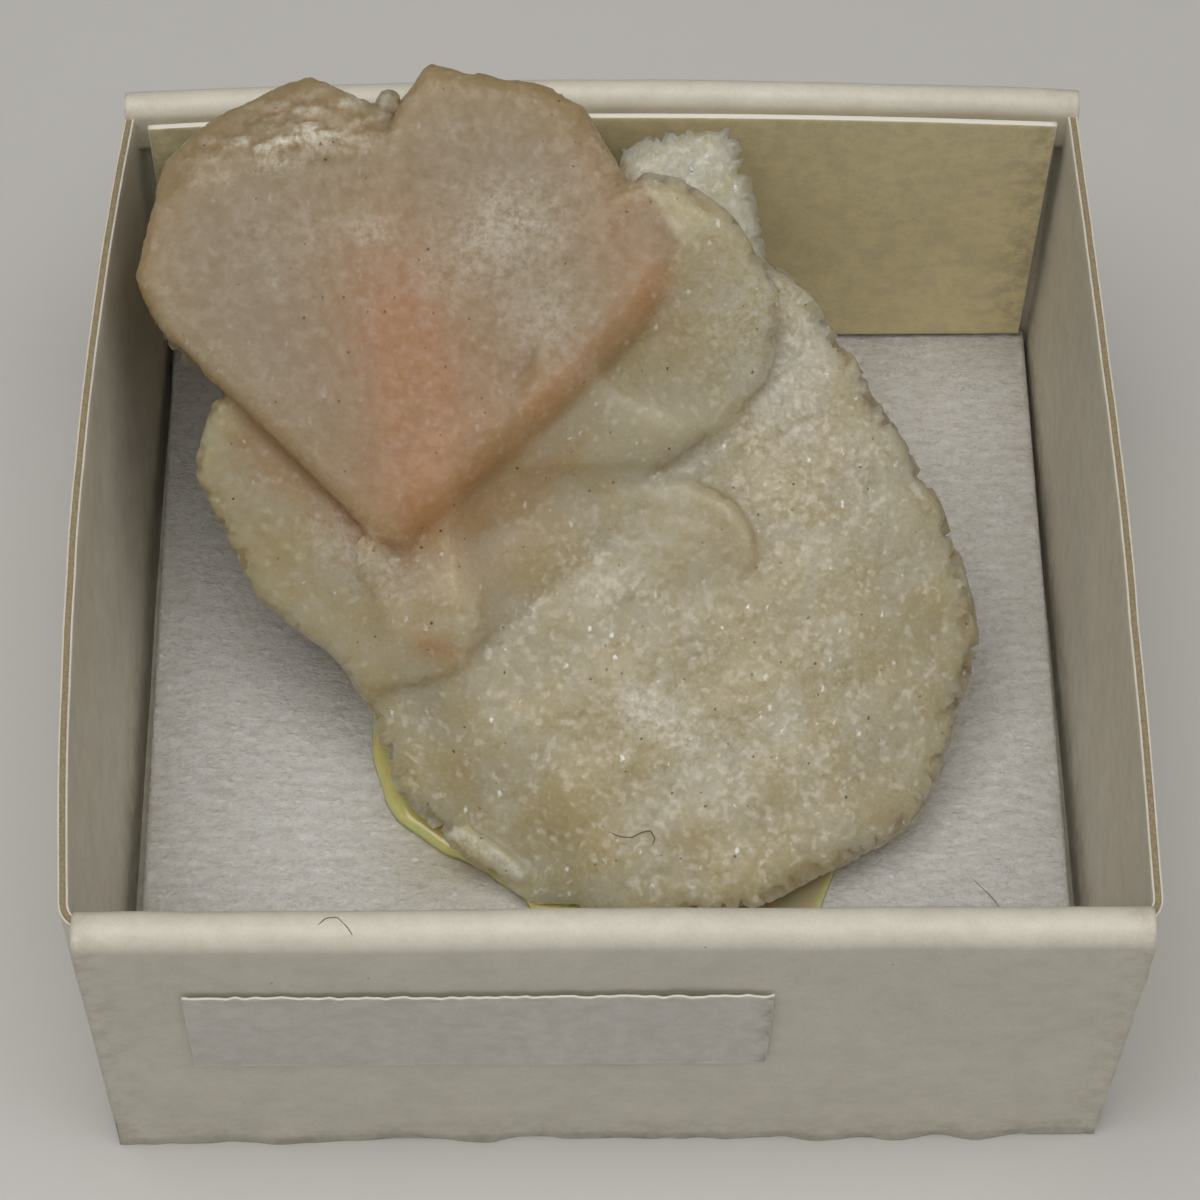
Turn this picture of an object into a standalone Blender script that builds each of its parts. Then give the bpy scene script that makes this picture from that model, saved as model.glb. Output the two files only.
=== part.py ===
"""A pink stilbite cluster glued to the foam of its small folded card tray.

The tray stands on z = 0 with the middle of its floor at the origin, +X to its right and -Y to
its front. The cluster is modelled in a leaning frame of its own: a is across, b is up its broad
face and c is out of that face, and the frame leans back by CLUSTER_LEAN.
"""

import math
import random

import bmesh
import bpy
import numpy as np
from mathutils import Euler, Matrix, Vector

MM = 0.001

# Driving dimensions, in millimetres and degrees
TRAY_WIDTH = 40.4
TRAY_DEPTH = 40.2
TRAY_HEIGHT = 20.0
FRONT_FLARE = 0.8
FRONT_SPREAD = 0.25
ROLLED_WALL = 0.8
ROLL = 1.7
ROLL_HEIGHT = 2.8
SIDE_WALL = 0.4
SIDE_WALL_DROP = 0.6
FLOOR = 0.8
LEFT_BOW = 1.0
RIGHT_BOW = 0.3
CORNER_RADIUS = 0.9
TAB_LENGTH = 3.0
FOAM_TOP = 3.7
GAP = 0.25
CARD_WIDTH = 38.0
CARD_TOP = 19.4
CARD_LEAN = 0.95
PAPER = 0.25
STICKER_SIZE = (22.3, 6.8)
STICKER_CENTRE = (-5.1, 12.1)
STICKER_GAP = 0.1
GLUE_THICKNESS = 0.35
GLUE_CENTRE = (0.9, -4.0)
GLUE_REACH = (10.2, 8.2)
GLUE_CORNERS = 32

CLUSTER_LEAN = 31.0
CLUSTER_HEIGHT = 12.5
CLUSTER_BASE = 4.5
CLUSTER_BACK = 17.9
WAIST = (-8.8, 2.0)
SHEAF_RADIUS = 19.1
SHEAF_FACE = 2.0
SHEAF_BACK_AT_WAIST = -4.5
SHEAF_BACK_AT_RIM = -1.4
BLADE_START = 3.0
BLADE_RISE = 0.08
MASS_CENTRE = (2.0, 0.5, -4.5)
MASS_SOFTNESS = 40
BALL_LEVEL = 3
GRAIN_TRIES = 4000
GRAIN_SIZE = (0.6, 1.15)
GRAIN_SPACING = 1.55
GRAIN_SEED = 4
# The lumps of the matrix: height, then how often they repeat along a, b and c, and their shift
LUMPS = (
    (0.18, (1.1, 0.7, 0.0), 0.0),
    (0.14, (-0.9, 1.7, 0.0), 1.0),
    (0.10, (1.0, 0.0, 2.3), 0.0),
)
PLATE_BEVEL = 0.4
LOBE_BEVEL = 0.7
BLADE_BEVEL = 0.45
BLADE_BACK = 0.0

# The corners of one grain: a short prism with a ridge at each end, in units of its size
GRAIN_CORNERS = (
    (-0.5, -0.8, -0.5),
    (-0.5, -0.8, 0.5),
    (-0.5, 0.8, -0.5),
    (-0.5, 0.8, 0.5),
    (0.5, -0.8, -0.5),
    (0.5, -0.8, 0.5),
    (0.5, 0.8, -0.5),
    (0.5, 0.8, 0.5),
    (-1.0, 0.0, 0.0),
    (1.0, 0.0, 0.0),
)

# The side faces of the matrix: the way each looks, in degrees from +a towards +b, and how far
# it stands from the centre
MASS_SIDES = (
    (18, 11.75),
    (32, 11.0),
    (60, 13.0),
    (88, 14.8),
    (144, 11.2),
    (172, 11.6),
    (198, 12.3),
    (224, 13.3),
    (284, 13.2),
    (296, 13.5),
    (340, 13.4),
)
# Its other faces: a normal and a point on the face
MASS_FACES = (
    ((0.03, 0.075, 1.0), (0.0, 0.0, -0.6)),
    ((0.32, 0.05, 1.0), (10.5, 0.0, -1.1)),
    ((-0.28, -0.22, 1.0), (-5.0, -6.0, -0.4)),
    ((0.85, 0.0, -0.4), (15.7, -2.0, -2.6)),
    ((-0.85, -0.15, -0.5), (-9.6, -5.0, -2.6)),
    ((0.3, 0.5, -0.8), (8.0, 12.0, -5.5)),
    ((0.0, 0.0, -1.0), (0.0, 0.0, -10.5)),
)

# Corners of the two lobes of the sheaf, as (degrees, radius) about the waist
LEFT_LOBE = (
    (0, 0),
    (137, 12.5),
    (134, 14.4),
    (121, 17.7),
    (113, 18.5),
    (99.5, 19.1),
    (92, 17.3),
    (86, 13),
)
RIGHT_LOBE = (
    (0, 0),
    (93, 12),
    (89.5, 17.2),
    (85, 19.1),
    (71.5, 19.2),
    (65.5, 19.1),
    (53, 16.9),
    (46, 16.1),
    (40.5, 13.1),
    (38.5, 8.7),
)
# The blades that stand a little proud of each lobe: middle direction, half-width and tip radius
BLADES = (
    (129.5, 7.4, 14.9),
    (115, 8.4, 18.2),
    (101, 7.8, 19.0),
    (83, 6.6, 19.1),
    (70, 8.4, 19.3),
    (57, 8.0, 17.4),
    (48, 5.6, 16.1),
)

# The smaller tabular crystals: corners on the broad face, then where the front and back stand
PLATES = {
    "right_plate": (
        (
            (1.3, 16.4),
            (3.0, 16.0),
            (4.8, 14.7),
            (6.7, 11.8),
            (6.5, 8.5),
            (4.8, 6.8),
            (2.2, 5.5),
            (-3, 6),
            (-3, 14),
        ),
        0.6,
        -3.2,
    ),
    "upper_right_step": (
        ((0.5, 16.2), (2.6, 16.1), (4.6, 14.7), (5.1, 13.3), (2.0, 12.4), (-2, 13)),
        1.0,
        -1.0,
    ),
    "waist_step": (
        ((-10.2, 1.0), (-8.4, -1.2), (-4.6, -0.6), (0.6, 3.4), (2.6, 6.2), (-2, 9.0), (-8, 6)),
        0.4,
        -3.0,
    ),
    "left_plate": (
        (
            (-15.4, 8.1),
            (-16.5, 4.8),
            (-15.3, 2.2),
            (-14.0, -0.4),
            (-9.4, -3.8),
            (-6, -3),
            (-6, 5),
            (-11, 8.5),
        ),
        0.0,
        -3.6,
    ),
    "left_plate_step": (
        ((-14.8, 6.8), (-14.6, 3.6), (-12.6, 0.6), (-9.2, -1.2), (-7, 0.5), (-8, 4), (-12, 7.4)),
        0.5,
        -1.0,
    ),
    "small_plate": (
        (
            (3.2, 4.1),
            (5.0, 3.4),
            (5.9, 2.2),
            (6.1, 0.9),
            (5.2, -0.1),
            (3.8, -0.7),
            (1.4, 0.9),
            (0.8, 3.0),
        ),
        0.3,
        -2.0,
    ),
    "back_peak": (
        (
            (0.6, 17.4),
            (2.1, 18.3),
            (4.6, 18.8),
            (5.2, 18.4),
            (6.0, 15.4),
            (6.6, 11.5),
            (-1, 11),
            (-1, 15),
        ),
        -1.6,
        -2.5,
    ),
}


def material(name, colour, roughness):
    made = bpy.data.materials.new(name)
    made.use_nodes = True
    shader = made.node_tree.nodes["Principled BSDF"]
    shader.inputs["Base Color"].default_value = (*colour, 1.0)
    shader.inputs["Roughness"].default_value = roughness
    shader.inputs["Metallic"].default_value = 0.0
    made.diffuse_color = (*colour, 1.0)
    return made


def object_from(name, bm, helper=False):
    """Turns a bmesh in millimetres into an object in metres."""
    bmesh.ops.recalc_face_normals(bm, faces=bm.faces)
    bm.transform(Matrix.Scale(MM, 4))
    mesh = bpy.data.meshes.new(name)
    bm.to_mesh(mesh)
    bm.free()
    made = bpy.data.objects.new(name, mesh)
    bpy.context.scene.collection.objects.link(made)
    if helper:
        made.hide_render = True
        made.display_type = "WIRE"
    return made


def union(target, helper):
    """Joins the helper's shapes, which may overlap each other, into the target."""
    join = target.modifiers.new("Joined shapes", "BOOLEAN")
    join.operation = "UNION"
    join.solver = "EXACT"
    join.use_self = True
    join.object = helper


def add_hull(bm, points):
    """Adds the closed convex solid round some points."""
    corners = [bm.verts.new(point) for point in points]
    made = bmesh.ops.convex_hull(bm, input=corners)
    loose = [item for item in made["geom_interior"] if isinstance(item, bmesh.types.BMVert)]
    bmesh.ops.delete(bm, geom=loose, context="VERTS")


def add_loft(bm, rings):
    """Adds a closed solid through rings of equally many points, capped at both ends."""
    rows = [[bm.verts.new(point) for point in ring] for ring in rings]
    count = len(rows[0])
    for low, high in zip(rows, rows[1:]):
        for i in range(count):
            j = (i + 1) % count
            bm.faces.new((low[i], low[j], high[j], high[i]))
    bm.faces.new(rows[0][::-1])
    bm.faces.new(rows[-1])


def rectangle(half_width, front, back):
    return [(-half_width, front), (half_width, front), (half_width, back), (-half_width, back)]


def wall_foot(side):
    """How far the foot of the front or back wall stands out: only the front one flares."""
    return TRAY_DEPTH / 2 - (FRONT_FLARE if side < 0 else 0.0)


def rolled_wall(bm, side):
    """The front (side -1) or back (side 1) wall: card folded over itself into a thick round top."""
    outer = TRAY_DEPTH / 2
    foot = wall_foot(side)
    radius = ROLL / 2
    spring = TRAY_HEIGHT - radius
    profile = [(foot - ROLLED_WALL, GAP), (foot, GAP)]
    for step in range(9):
        turn = math.pi * step / 8
        y = outer - radius + radius * math.cos(turn)
        profile.append((y, spring + radius * math.sin(turn)))
    profile.append((outer - ROLLED_WALL, TRAY_HEIGHT - ROLL_HEIGHT))
    reach = TRAY_WIDTH / 2 - SIDE_WALL
    add_loft(bm, [[(x, side * y, z) for y, z in profile] for x in (-reach, reach)])


def corner(line, end, side):
    """Points from a side wall's tab, round a corner, to its straight run: side -1 is the front."""
    middle = (line - CORNER_RADIUS, side * (end - CORNER_RADIUS))
    points = [(line - TAB_LENGTH, side * end)]
    for step in range(5):
        turn = side * math.pi / 2 * (1 - step / 4)
        x = middle[0] + CORNER_RADIUS * math.cos(turn)
        y = middle[1] + CORNER_RADIUS * math.sin(turn)
        points.append((x, y))
    return points


def side_wall_path():
    """The side wall's middle line in plan, from its front tab round both corners to its back tab."""
    line = TRAY_WIDTH / 2 - SIDE_WALL / 2
    front = corner(line, wall_foot(-1) - ROLLED_WALL / 2, -1)
    back = corner(line, wall_foot(1) - ROLLED_WALL / 2, 1)
    low, high = front[-1][1], back[-1][1]
    run = [(line, low + (high - low) * step / 14) for step in range(1, 14)]
    return front + run + back[::-1]


def side_wall(bm, side, bow):
    """A single-ply wall that follows its path and bows outwards towards its free top edge."""
    path = side_wall_path()
    top = TRAY_HEIGHT - SIDE_WALL_DROP
    levels = [GAP + (top - GAP) * step / 4 for step in range(5)]
    rings = []
    for i, (x, y) in enumerate(path):
        before = Vector(path[max(i - 1, 0)])
        after = Vector(path[min(i + 1, len(path) - 1)])
        along = (after - before).normalized()
        out = Vector((along.y, -along.x)) * SIDE_WALL / 2
        bulge = bow * max(0.0, 1 - (2 * y / TRAY_DEPTH) ** 2)
        spread = -FRONT_SPREAD * 2 * y / TRAY_DEPTH
        ring = []
        for z in levels:
            ring.append((side * (x + out.x + spread + bulge * z / top), y + out.y, z))
        for z in reversed(levels):
            ring.append((side * (x - out.x + spread + bulge * z / top), y - out.y, z))
        rings.append(ring)
    add_loft(bm, rings)


def build_tray():
    """The folded card tray: floor, two rolled walls and two thin bowed walls, all one card."""
    bm = bmesh.new()
    half_width = TRAY_WIDTH / 2 - GAP
    outline = rectangle(half_width, -wall_foot(-1) + GAP, wall_foot(1) - GAP)
    add_loft(bm, [[(x, y, z) for x, y in outline] for z in (0.0, FLOOR)])
    tray = object_from("card_tray", bm)

    walls = bmesh.new()
    rolled_wall(walls, -1)
    rolled_wall(walls, 1)
    side_wall(walls, -1, LEFT_BOW)
    side_wall(walls, 1, RIGHT_BOW)
    union(tray, object_from("tray_walls", walls, helper=True))
    tray.data.materials.append(material("cream card", (0.62, 0.58, 0.49), 0.7))
    return tray


def build_foam():
    """The white foam pad that fills the floor of the tray."""
    half_width = TRAY_WIDTH / 2 - SIDE_WALL - FRONT_SPREAD - GAP
    inset_depth = ROLLED_WALL + GAP
    bm = bmesh.new()
    outline = rectangle(half_width, -wall_foot(-1) + inset_depth, wall_foot(1) - inset_depth)
    add_loft(bm, [[(x, y, z) for x, y in outline] for z in (FLOOR + GAP, FOAM_TOP)])
    foam = object_from("foam_pad", bm)
    rounding = foam.modifiers.new("Soft edges", "BEVEL")
    rounding.width = 0.35 * MM
    rounding.segments = 2
    foam.data.materials.append(material("white foam", (0.8, 0.79, 0.76), 0.85))
    return foam


def build_name_card():
    """The yellow card that stands behind the cluster, against the back wall."""
    bm = bmesh.new()
    back = TRAY_DEPTH / 2 - ROLLED_WALL - GAP
    front = back - PAPER
    outline = rectangle(CARD_WIDTH / 2, front, back)
    foot_and_head = ((FOAM_TOP + GAP, 0.0), (CARD_TOP, CARD_LEAN))
    add_loft(bm, [[(x, y - lean, z) for x, y in outline] for z, lean in foot_and_head])
    card = object_from("name_card", bm)
    card.data.materials.append(material("yellow card", (0.72, 0.6, 0.3), 0.6))
    return card


def build_sticker():
    """The paper label on the tray's front."""
    width, height = STICKER_SIZE
    x, z = STICKER_CENTRE
    bm = bmesh.new()
    rings = []
    for v in (z - height / 2, z + height / 2):
        wall = -wall_foot(-1) - FRONT_FLARE * v / (TRAY_HEIGHT - ROLL / 2)
        back = wall - STICKER_GAP
        rings.append([(x + u, y, v) for u, y in rectangle(width / 2, back - PAPER / 2, back)])
    add_loft(bm, rings)
    sticker = object_from("number_label", bm)
    sticker.data.materials.append(material("white paper", (0.75, 0.74, 0.7), 0.6))
    return sticker


def lean_frame():
    """The empty that carries the cluster: its z axis looks out of the broad face."""
    frame = bpy.data.objects.new("cluster_frame", None)
    frame.location = (0, 0, CLUSTER_HEIGHT * MM)
    frame.rotation_euler = (math.radians(CLUSTER_LEAN), 0, 0)
    bpy.context.scene.collection.objects.link(frame)
    return frame


def to_lean(direction):
    """A direction of the room, as (a, b, c)."""
    return Euler((math.radians(-CLUSTER_LEAN), 0, 0)).to_matrix() @ Vector(direction)


def mass_planes():
    """Normals of the matrix's faces, and how far each face stands from its centre."""
    centre = Vector(MASS_CENTRE)
    planes = []
    for turn, distance in MASS_SIDES:
        angle = math.radians(turn)
        planes.append((Vector((math.cos(angle), math.sin(angle), 0.0)), distance))
    for normal, point in MASS_FACES:
        normal = Vector(normal).normalized()
        planes.append((normal, normal.dot(Vector(point) - centre)))
    origin = to_lean((0, 0, -CLUSTER_HEIGHT))
    down = to_lean((0, 0, -1))
    back = to_lean((0, 1, 0))
    planes.append((down, down.dot(origin - centre) - CLUSTER_BASE))
    planes.append((back, back.dot(origin - centre) + CLUSTER_BACK))
    return np.array([tuple(normal) for normal, _ in planes]), np.array([far for _, far in planes])


def mass_radius(directions):
    """Distance from the centre to the surface: the faces' own distances in a soft minimum."""
    normals, distances = mass_planes()
    closeness = np.maximum(directions @ normals.T / distances, 0.0)
    radius = (closeness**MASS_SOFTNESS).sum(axis=1) ** (-1.0 / MASS_SOFTNESS)
    points = directions * radius[:, None]
    lumps = sum(height * np.sin(points @ np.array(pace) + shift) for height, pace, shift in LUMPS)
    return radius + lumps


def mass_body(bm):
    """The matrix without its crust: a fine ball pushed out to mass_radius."""
    bmesh.ops.create_icosphere(bm, subdivisions=BALL_LEVEL, radius=1.0)
    directions = np.array([tuple(vert.co.normalized()) for vert in bm.verts])
    points = np.array(MASS_CENTRE) + directions * mass_radius(directions)[:, None]
    for vert, point in zip(bm.verts, points):
        vert.co = point


def add_grains(bm, matrix):
    """The crust: small blunt crystals spread evenly over the matrix, each at its own slant."""
    chance = random.Random(GRAIN_SEED)
    up = to_lean((0, 0, 1))
    back = to_lean((0, 1, 0))
    areas = np.cumsum([face.calc_area() for face in matrix.faces])
    faces = list(matrix.faces)
    grown = []
    for _ in range(GRAIN_TRIES):
        face = faces[np.searchsorted(areas, areas[-1] * chance.random())]
        size = chance.uniform(*GRAIN_SIZE)
        turn = Euler([chance.uniform(0, 2 * math.pi) for _ in range(3)]).to_matrix()
        centre = face.calc_center_median()
        lowest = CLUSTER_HEIGHT + centre.dot(up) - size
        rearmost = centre.dot(back) + size
        if lowest < CLUSTER_BASE or rearmost > CLUSTER_BACK or face.normal.dot(up) < -0.4:
            continue
        if any((centre - other).length < GRAIN_SPACING for other in grown):
            continue
        grown.append(centre)
        add_hull(bm, [centre + turn @ Vector(corner) * size for corner in GRAIN_CORNERS])


def inset(corners, by):
    """Corners moved towards their middle by about the same distance each."""
    middle = sum((Vector(corner) for corner in corners), Vector((0, 0))) / len(corners)
    moved = []
    for corner in corners:
        away = Vector(corner) - middle
        moved.append(middle + away * max(0.0, 1 - by / away.length))
    return moved


def add_tabular(bm, corners, fronts, backs, bevel):
    """A flat crystal with bevelled rims: corners on its broad face, front and back at each."""
    inner = inset(corners, bevel)
    points = []
    for (a, b), (p, q), front, back in zip(corners, inner, fronts, backs):
        points += [(p, q, front), (a, b, front - bevel * 0.6)]
        points += [(a, b, back + bevel * 0.5), (p, q, back)]
    add_hull(bm, points)


def polar(turn, radius):
    angle = math.radians(turn)
    return WAIST[0] + radius * math.cos(angle), WAIST[1] + radius * math.sin(angle)


def add_lobe(bm, corners):
    """One lobe of the sheaf, thick at the waist and thinner towards its rim."""
    points = [polar(turn, radius) for turn, radius in corners]
    thinner = (SHEAF_BACK_AT_RIM - SHEAF_BACK_AT_WAIST) / SHEAF_RADIUS
    backs = [SHEAF_BACK_AT_WAIST + thinner * radius for _, radius in corners]
    add_tabular(bm, points, [SHEAF_FACE] * len(points), backs, LOBE_BEVEL)


def add_blades(bm):
    """The blades of the sheaf: each fans out from near the waist to its own blunt point."""
    for number, (turn, half, tip) in enumerate(BLADES):
        rise = BLADE_RISE * (1 + number % 3)
        outline = [polar(turn - half, BLADE_START), polar(turn - half, tip - 0.8)]
        outline += [polar(turn - half * 0.7, tip), polar(turn + half * 0.7, tip)]
        outline += [polar(turn + half, tip - 0.6), polar(turn + half, BLADE_START)]
        root = SHEAF_FACE - 2 * BLADE_RISE
        fronts = [root] + [SHEAF_FACE + rise] * 4 + [root]
        add_tabular(bm, outline, fronts, [BLADE_BACK] * len(outline), BLADE_BEVEL)


def build_cluster():
    """The whole cluster, grown as one piece: matrix, crust, plates and two-lobed sheaf."""
    frame = lean_frame()
    body = bmesh.new()
    mass_body(body)
    crystals = bmesh.new()
    add_grains(crystals, body)
    cluster = object_from("stilbite_cluster", body)
    for corners, front, back in PLATES.values():
        fronts = [front] * len(corners)
        backs = [back] * len(corners)
        add_tabular(crystals, corners, fronts, backs, PLATE_BEVEL)
    add_lobe(crystals, LEFT_LOBE)
    add_lobe(crystals, RIGHT_LOBE)
    add_blades(crystals)
    helper = object_from("grown_on_crystals", crystals, helper=True)
    union(cluster, helper)
    for item in (cluster, helper):
        item.parent = frame
    cluster.data.materials.append(material("pink stilbite", (0.62, 0.47, 0.36), 0.35))
    return cluster


def build_glue():
    """The pool of yellow glue between the foam and the matrix, wider at its left and front."""
    low = FOAM_TOP + GAP
    high = low + GLUE_THICKNESS
    centre_x, centre_y = GLUE_CENTRE
    bm = bmesh.new()
    rings = []
    for scale, z in ((0.97, low), (1.0, (low + high) / 2), (0.95, high)):
        ring = []
        for step in range(GLUE_CORNERS):
            turn = 2 * math.pi * step / GLUE_CORNERS
            ripple = 0.05 * math.sin(2 * turn + 2.6) + 0.03 * math.sin(5 * turn)
            reach = scale * (1 + ripple)
            x = centre_x + GLUE_REACH[0] * reach * math.cos(turn)
            y = centre_y + GLUE_REACH[1] * reach * math.sin(turn)
            ring.append((x, y, z))
        rings.append(ring)
    add_loft(bm, rings)
    glue = object_from("glue", bm)
    glue.data.materials.append(material("yellow glue", (0.55, 0.47, 0.18), 0.2))
    return glue


def main():
    for item in list(bpy.data.objects):
        bpy.data.objects.remove(item, do_unlink=True)
    build_tray()
    build_foam()
    build_name_card()
    build_sticker()
    build_cluster()
    build_glue()


main()
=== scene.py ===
"""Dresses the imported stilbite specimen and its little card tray, laid out as an add-on."""

import math

import bpy
import numpy as np
from bpy.props import FloatProperty, FloatVectorProperty, IntProperty, PointerProperty
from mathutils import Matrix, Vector
from mathutils.bvhtree import BVHTree


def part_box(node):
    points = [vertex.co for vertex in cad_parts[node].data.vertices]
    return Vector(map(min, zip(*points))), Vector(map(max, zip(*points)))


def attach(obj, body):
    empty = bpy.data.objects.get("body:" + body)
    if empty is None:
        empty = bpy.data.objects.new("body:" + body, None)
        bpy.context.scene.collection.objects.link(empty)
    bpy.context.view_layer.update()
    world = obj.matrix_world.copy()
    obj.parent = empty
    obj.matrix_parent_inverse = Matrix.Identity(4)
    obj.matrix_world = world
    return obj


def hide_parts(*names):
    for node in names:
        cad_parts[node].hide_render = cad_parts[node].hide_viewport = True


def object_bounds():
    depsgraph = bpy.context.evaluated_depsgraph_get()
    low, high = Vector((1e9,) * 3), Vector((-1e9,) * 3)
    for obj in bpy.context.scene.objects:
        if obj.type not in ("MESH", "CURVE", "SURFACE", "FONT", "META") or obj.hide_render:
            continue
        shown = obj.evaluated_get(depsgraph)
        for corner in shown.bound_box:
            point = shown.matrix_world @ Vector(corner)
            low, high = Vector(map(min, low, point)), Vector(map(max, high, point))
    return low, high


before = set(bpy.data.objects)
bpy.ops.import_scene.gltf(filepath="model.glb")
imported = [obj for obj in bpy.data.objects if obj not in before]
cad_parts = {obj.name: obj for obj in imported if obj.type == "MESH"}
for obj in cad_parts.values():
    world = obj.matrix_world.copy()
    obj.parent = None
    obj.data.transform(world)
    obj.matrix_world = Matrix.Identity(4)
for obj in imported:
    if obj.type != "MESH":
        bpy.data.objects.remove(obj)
cad_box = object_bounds()

bl_info = {
    "name": "Stilbite specimen",
    "version": (1, 0, 0),
    "blender": (4, 5, 0),
    "location": "3D View > Sidebar > Specimen",
    "description": "Builds a pink stilbite cluster glued into its small card tray",
    "category": "Object",
}

MM = 0.001
BODY = "root"
TRAY_LOW, TRAY_HIGH = (np.array(corner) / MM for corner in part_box("card_tray"))
FOAM_LOW, FOAM_HIGH = (np.array(corner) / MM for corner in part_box("foam_pad"))
CARD_LOW, CARD_HIGH = (np.array(corner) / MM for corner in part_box("name_card"))
LABEL_LOW, LABEL_HIGH = (np.array(corner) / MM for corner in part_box("number_label"))
GLUE_LOW, GLUE_HIGH = (np.array(corner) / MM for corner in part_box("glue"))


# ---- the leaning frame of the cluster ----

LEAN = math.radians(31.0)
LEAN_HEIGHT = 12.5
CLUSTER_BASE = 4.35
CLUSTER_BACK = 17.9
ACROSS = np.array([1.0, 0.0, 0.0])
UP_FACE = np.array([0.0, math.cos(LEAN), math.sin(LEAN)])
OUT_OF_FACE = np.array([0.0, -math.sin(LEAN), math.cos(LEAN)])


def from_lean(points):
    """Room points of (a, b, c) points: a across, b up the broad face, c out of it."""
    moved = points @ np.stack([ACROSS, UP_FACE, OUT_OF_FACE])
    return moved + np.array([0.0, 0.0, LEAN_HEIGHT])


def to_lean(directions):
    """A room direction as (a, b, c)."""
    return np.array(directions) @ np.stack([ACROSS, UP_FACE, OUT_OF_FACE]).T


# ---- meshes ----


def mesh_object(name, points, quads, triangles=None, zones=None, smooth=True):
    """An object at the origin from points in millimetres, quads and triangles."""
    triangles = np.empty((0, 3), int) if triangles is None else triangles
    mesh = bpy.data.meshes.new(name)
    corners = np.concatenate([quads.ravel(), triangles.ravel()]).astype(np.int32)
    sizes = np.concatenate([np.full(len(quads), 4), np.full(len(triangles), 3)])
    starts = np.concatenate([[0], np.cumsum(sizes)[:-1]]).astype(np.int32)
    mesh.vertices.add(len(points))
    mesh.vertices.foreach_set("co", (points * MM).astype(np.float32).ravel())
    mesh.loops.add(len(corners))
    mesh.loops.foreach_set("vertex_index", corners)
    mesh.polygons.add(len(sizes))
    mesh.polygons.foreach_set("loop_start", starts)
    mesh.polygons.foreach_set("use_smooth", np.full(len(sizes), smooth))
    if zones is not None:
        layer = mesh.attributes.new("zones", "FLOAT_COLOR", "POINT")
        layer.data.foreach_set("color", np.clip(zones, 0, 1).astype(np.float32).ravel())
    mesh.update(calc_edges=True)
    mesh.validate()
    made = bpy.data.objects.new(name, mesh)
    bpy.context.scene.collection.objects.link(made)
    return made


def joined(parts):
    """Several (points, quads, triangles, zones) as one."""
    points, quads, triangles, zones = [], [], [], []
    count = 0
    for part_points, part_quads, part_triangles, part_zones in parts:
        points.append(part_points)
        quads.append(part_quads + count)
        triangles.append(part_triangles + count)
        zones.append(part_zones)
        count += len(part_points)
    return [np.concatenate(item) for item in (points, quads, triangles, zones)]


def fitted(piece, material, nodes):
    """Gives a piece its material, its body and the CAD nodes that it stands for."""
    piece.data.materials.append(material)
    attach(piece, BODY)
    if nodes:
        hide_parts(*nodes)
    return piece


def shield_grid(half, rings):
    """The parameters of a closed shield: reach is 0 in the middle of its face, 1 at its rim and
    2 in the middle of its back; turn is the way round. The face is a square grid laid on the
    disc by concentric squares, and the back is rings that close in a fan."""
    steps = np.linspace(-1, 1, 2 * half + 1)
    u, v = np.meshgrid(steps, steps)
    reach = np.maximum(abs(u), abs(v))
    safe = np.where(reach == 0, 1, reach)
    quarter = np.pi / 4
    turn = np.select(
        [(u >= abs(v)), (v >= abs(u)), (-u >= abs(v))],
        [quarter * v / safe, quarter * (2 - u / safe), quarter * (4 - v / safe)],
        quarter * (6 + u / safe),
    )
    width = 2 * half + 1
    index = np.arange(width * width).reshape(width, width)
    quads = [np.stack([index[:-1, :-1], index[:-1, 1:], index[1:, 1:], index[1:, :-1]], -1).reshape(-1, 4)]
    rim = np.concatenate([index[0, :-1], index[:-1, -1], index[-1, :0:-1], index[:0:-1, 0]])
    reach, turn = reach.ravel(), turn.ravel()
    count = len(reach)
    ring_turn = turn[rim]
    before = rim
    for ring in range(1, rings + 1):
        after = count + np.arange(len(rim))
        quads.append(np.stack([before, after, np.roll(after, -1), np.roll(before, -1)], -1))
        reach = np.concatenate([reach, np.full(len(rim), 1 + ring / (rings + 1))])
        turn = np.concatenate([turn, ring_turn])
        count += len(rim)
        before = after
    fan = np.stack([before, np.full(len(rim), count), np.roll(before, -1)], -1)
    return np.append(reach, 2.0), np.append(turn, 0.0), np.concatenate(quads), fan


def slab_directions(reach, turn, size, rim):
    """Directions to the surface of a flat slab (half width, half depth, rise, drop): reach 0 to
    rim crosses its face, rim to 1 goes down its side and 1 to 2 crosses its back."""
    wide, deep, rise, drop = size
    out = np.interp(reach, (0, rim, 1, 2), (0, 1, 1, 0))
    up = np.interp(reach, (0, rim, 1, 2), (rise, rise, -drop, -drop))
    return np.stack([wide * out * np.cos(turn), deep * out * np.sin(turn), up], -1)


def soft_solid(directions, normals, distances, softness):
    """Points and outward normals of the solid that flat faces bound, with softened edges: along
    each direction the faces' closeness values are added as powers, and the root is the scale."""
    closeness = np.maximum(directions @ normals.T / distances, 1e-9)
    total = (closeness**softness).sum(axis=1) ** (1 / softness)
    weights = (closeness / total[:, None]) ** (softness - 1) / distances
    outward = weights @ normals
    outward /= np.linalg.norm(outward, axis=1)[:, None]
    return directions / total[:, None], outward


def side_planes(corners, centre, lean=0.0):
    """Planes through the sides of a convex outline, each leaning by the given slope."""
    corners = np.array(corners, float)
    along = np.roll(corners, -1, axis=0) - corners
    if (along[:, 0] * np.roll(along, -1, axis=0)[:, 1] - along[:, 1] * np.roll(along, -1, axis=0)[:, 0]).sum() < 0:
        along = -along
    normals = np.stack([along[:, 1], -along[:, 0], np.full(len(along), lean)], -1)
    normals[:, :2] /= np.linalg.norm(normals[:, :2], axis=1)[:, None]
    distances = ((corners - centre[:2]) * normals[:, :2]).sum(axis=1)
    return normals, distances


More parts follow.
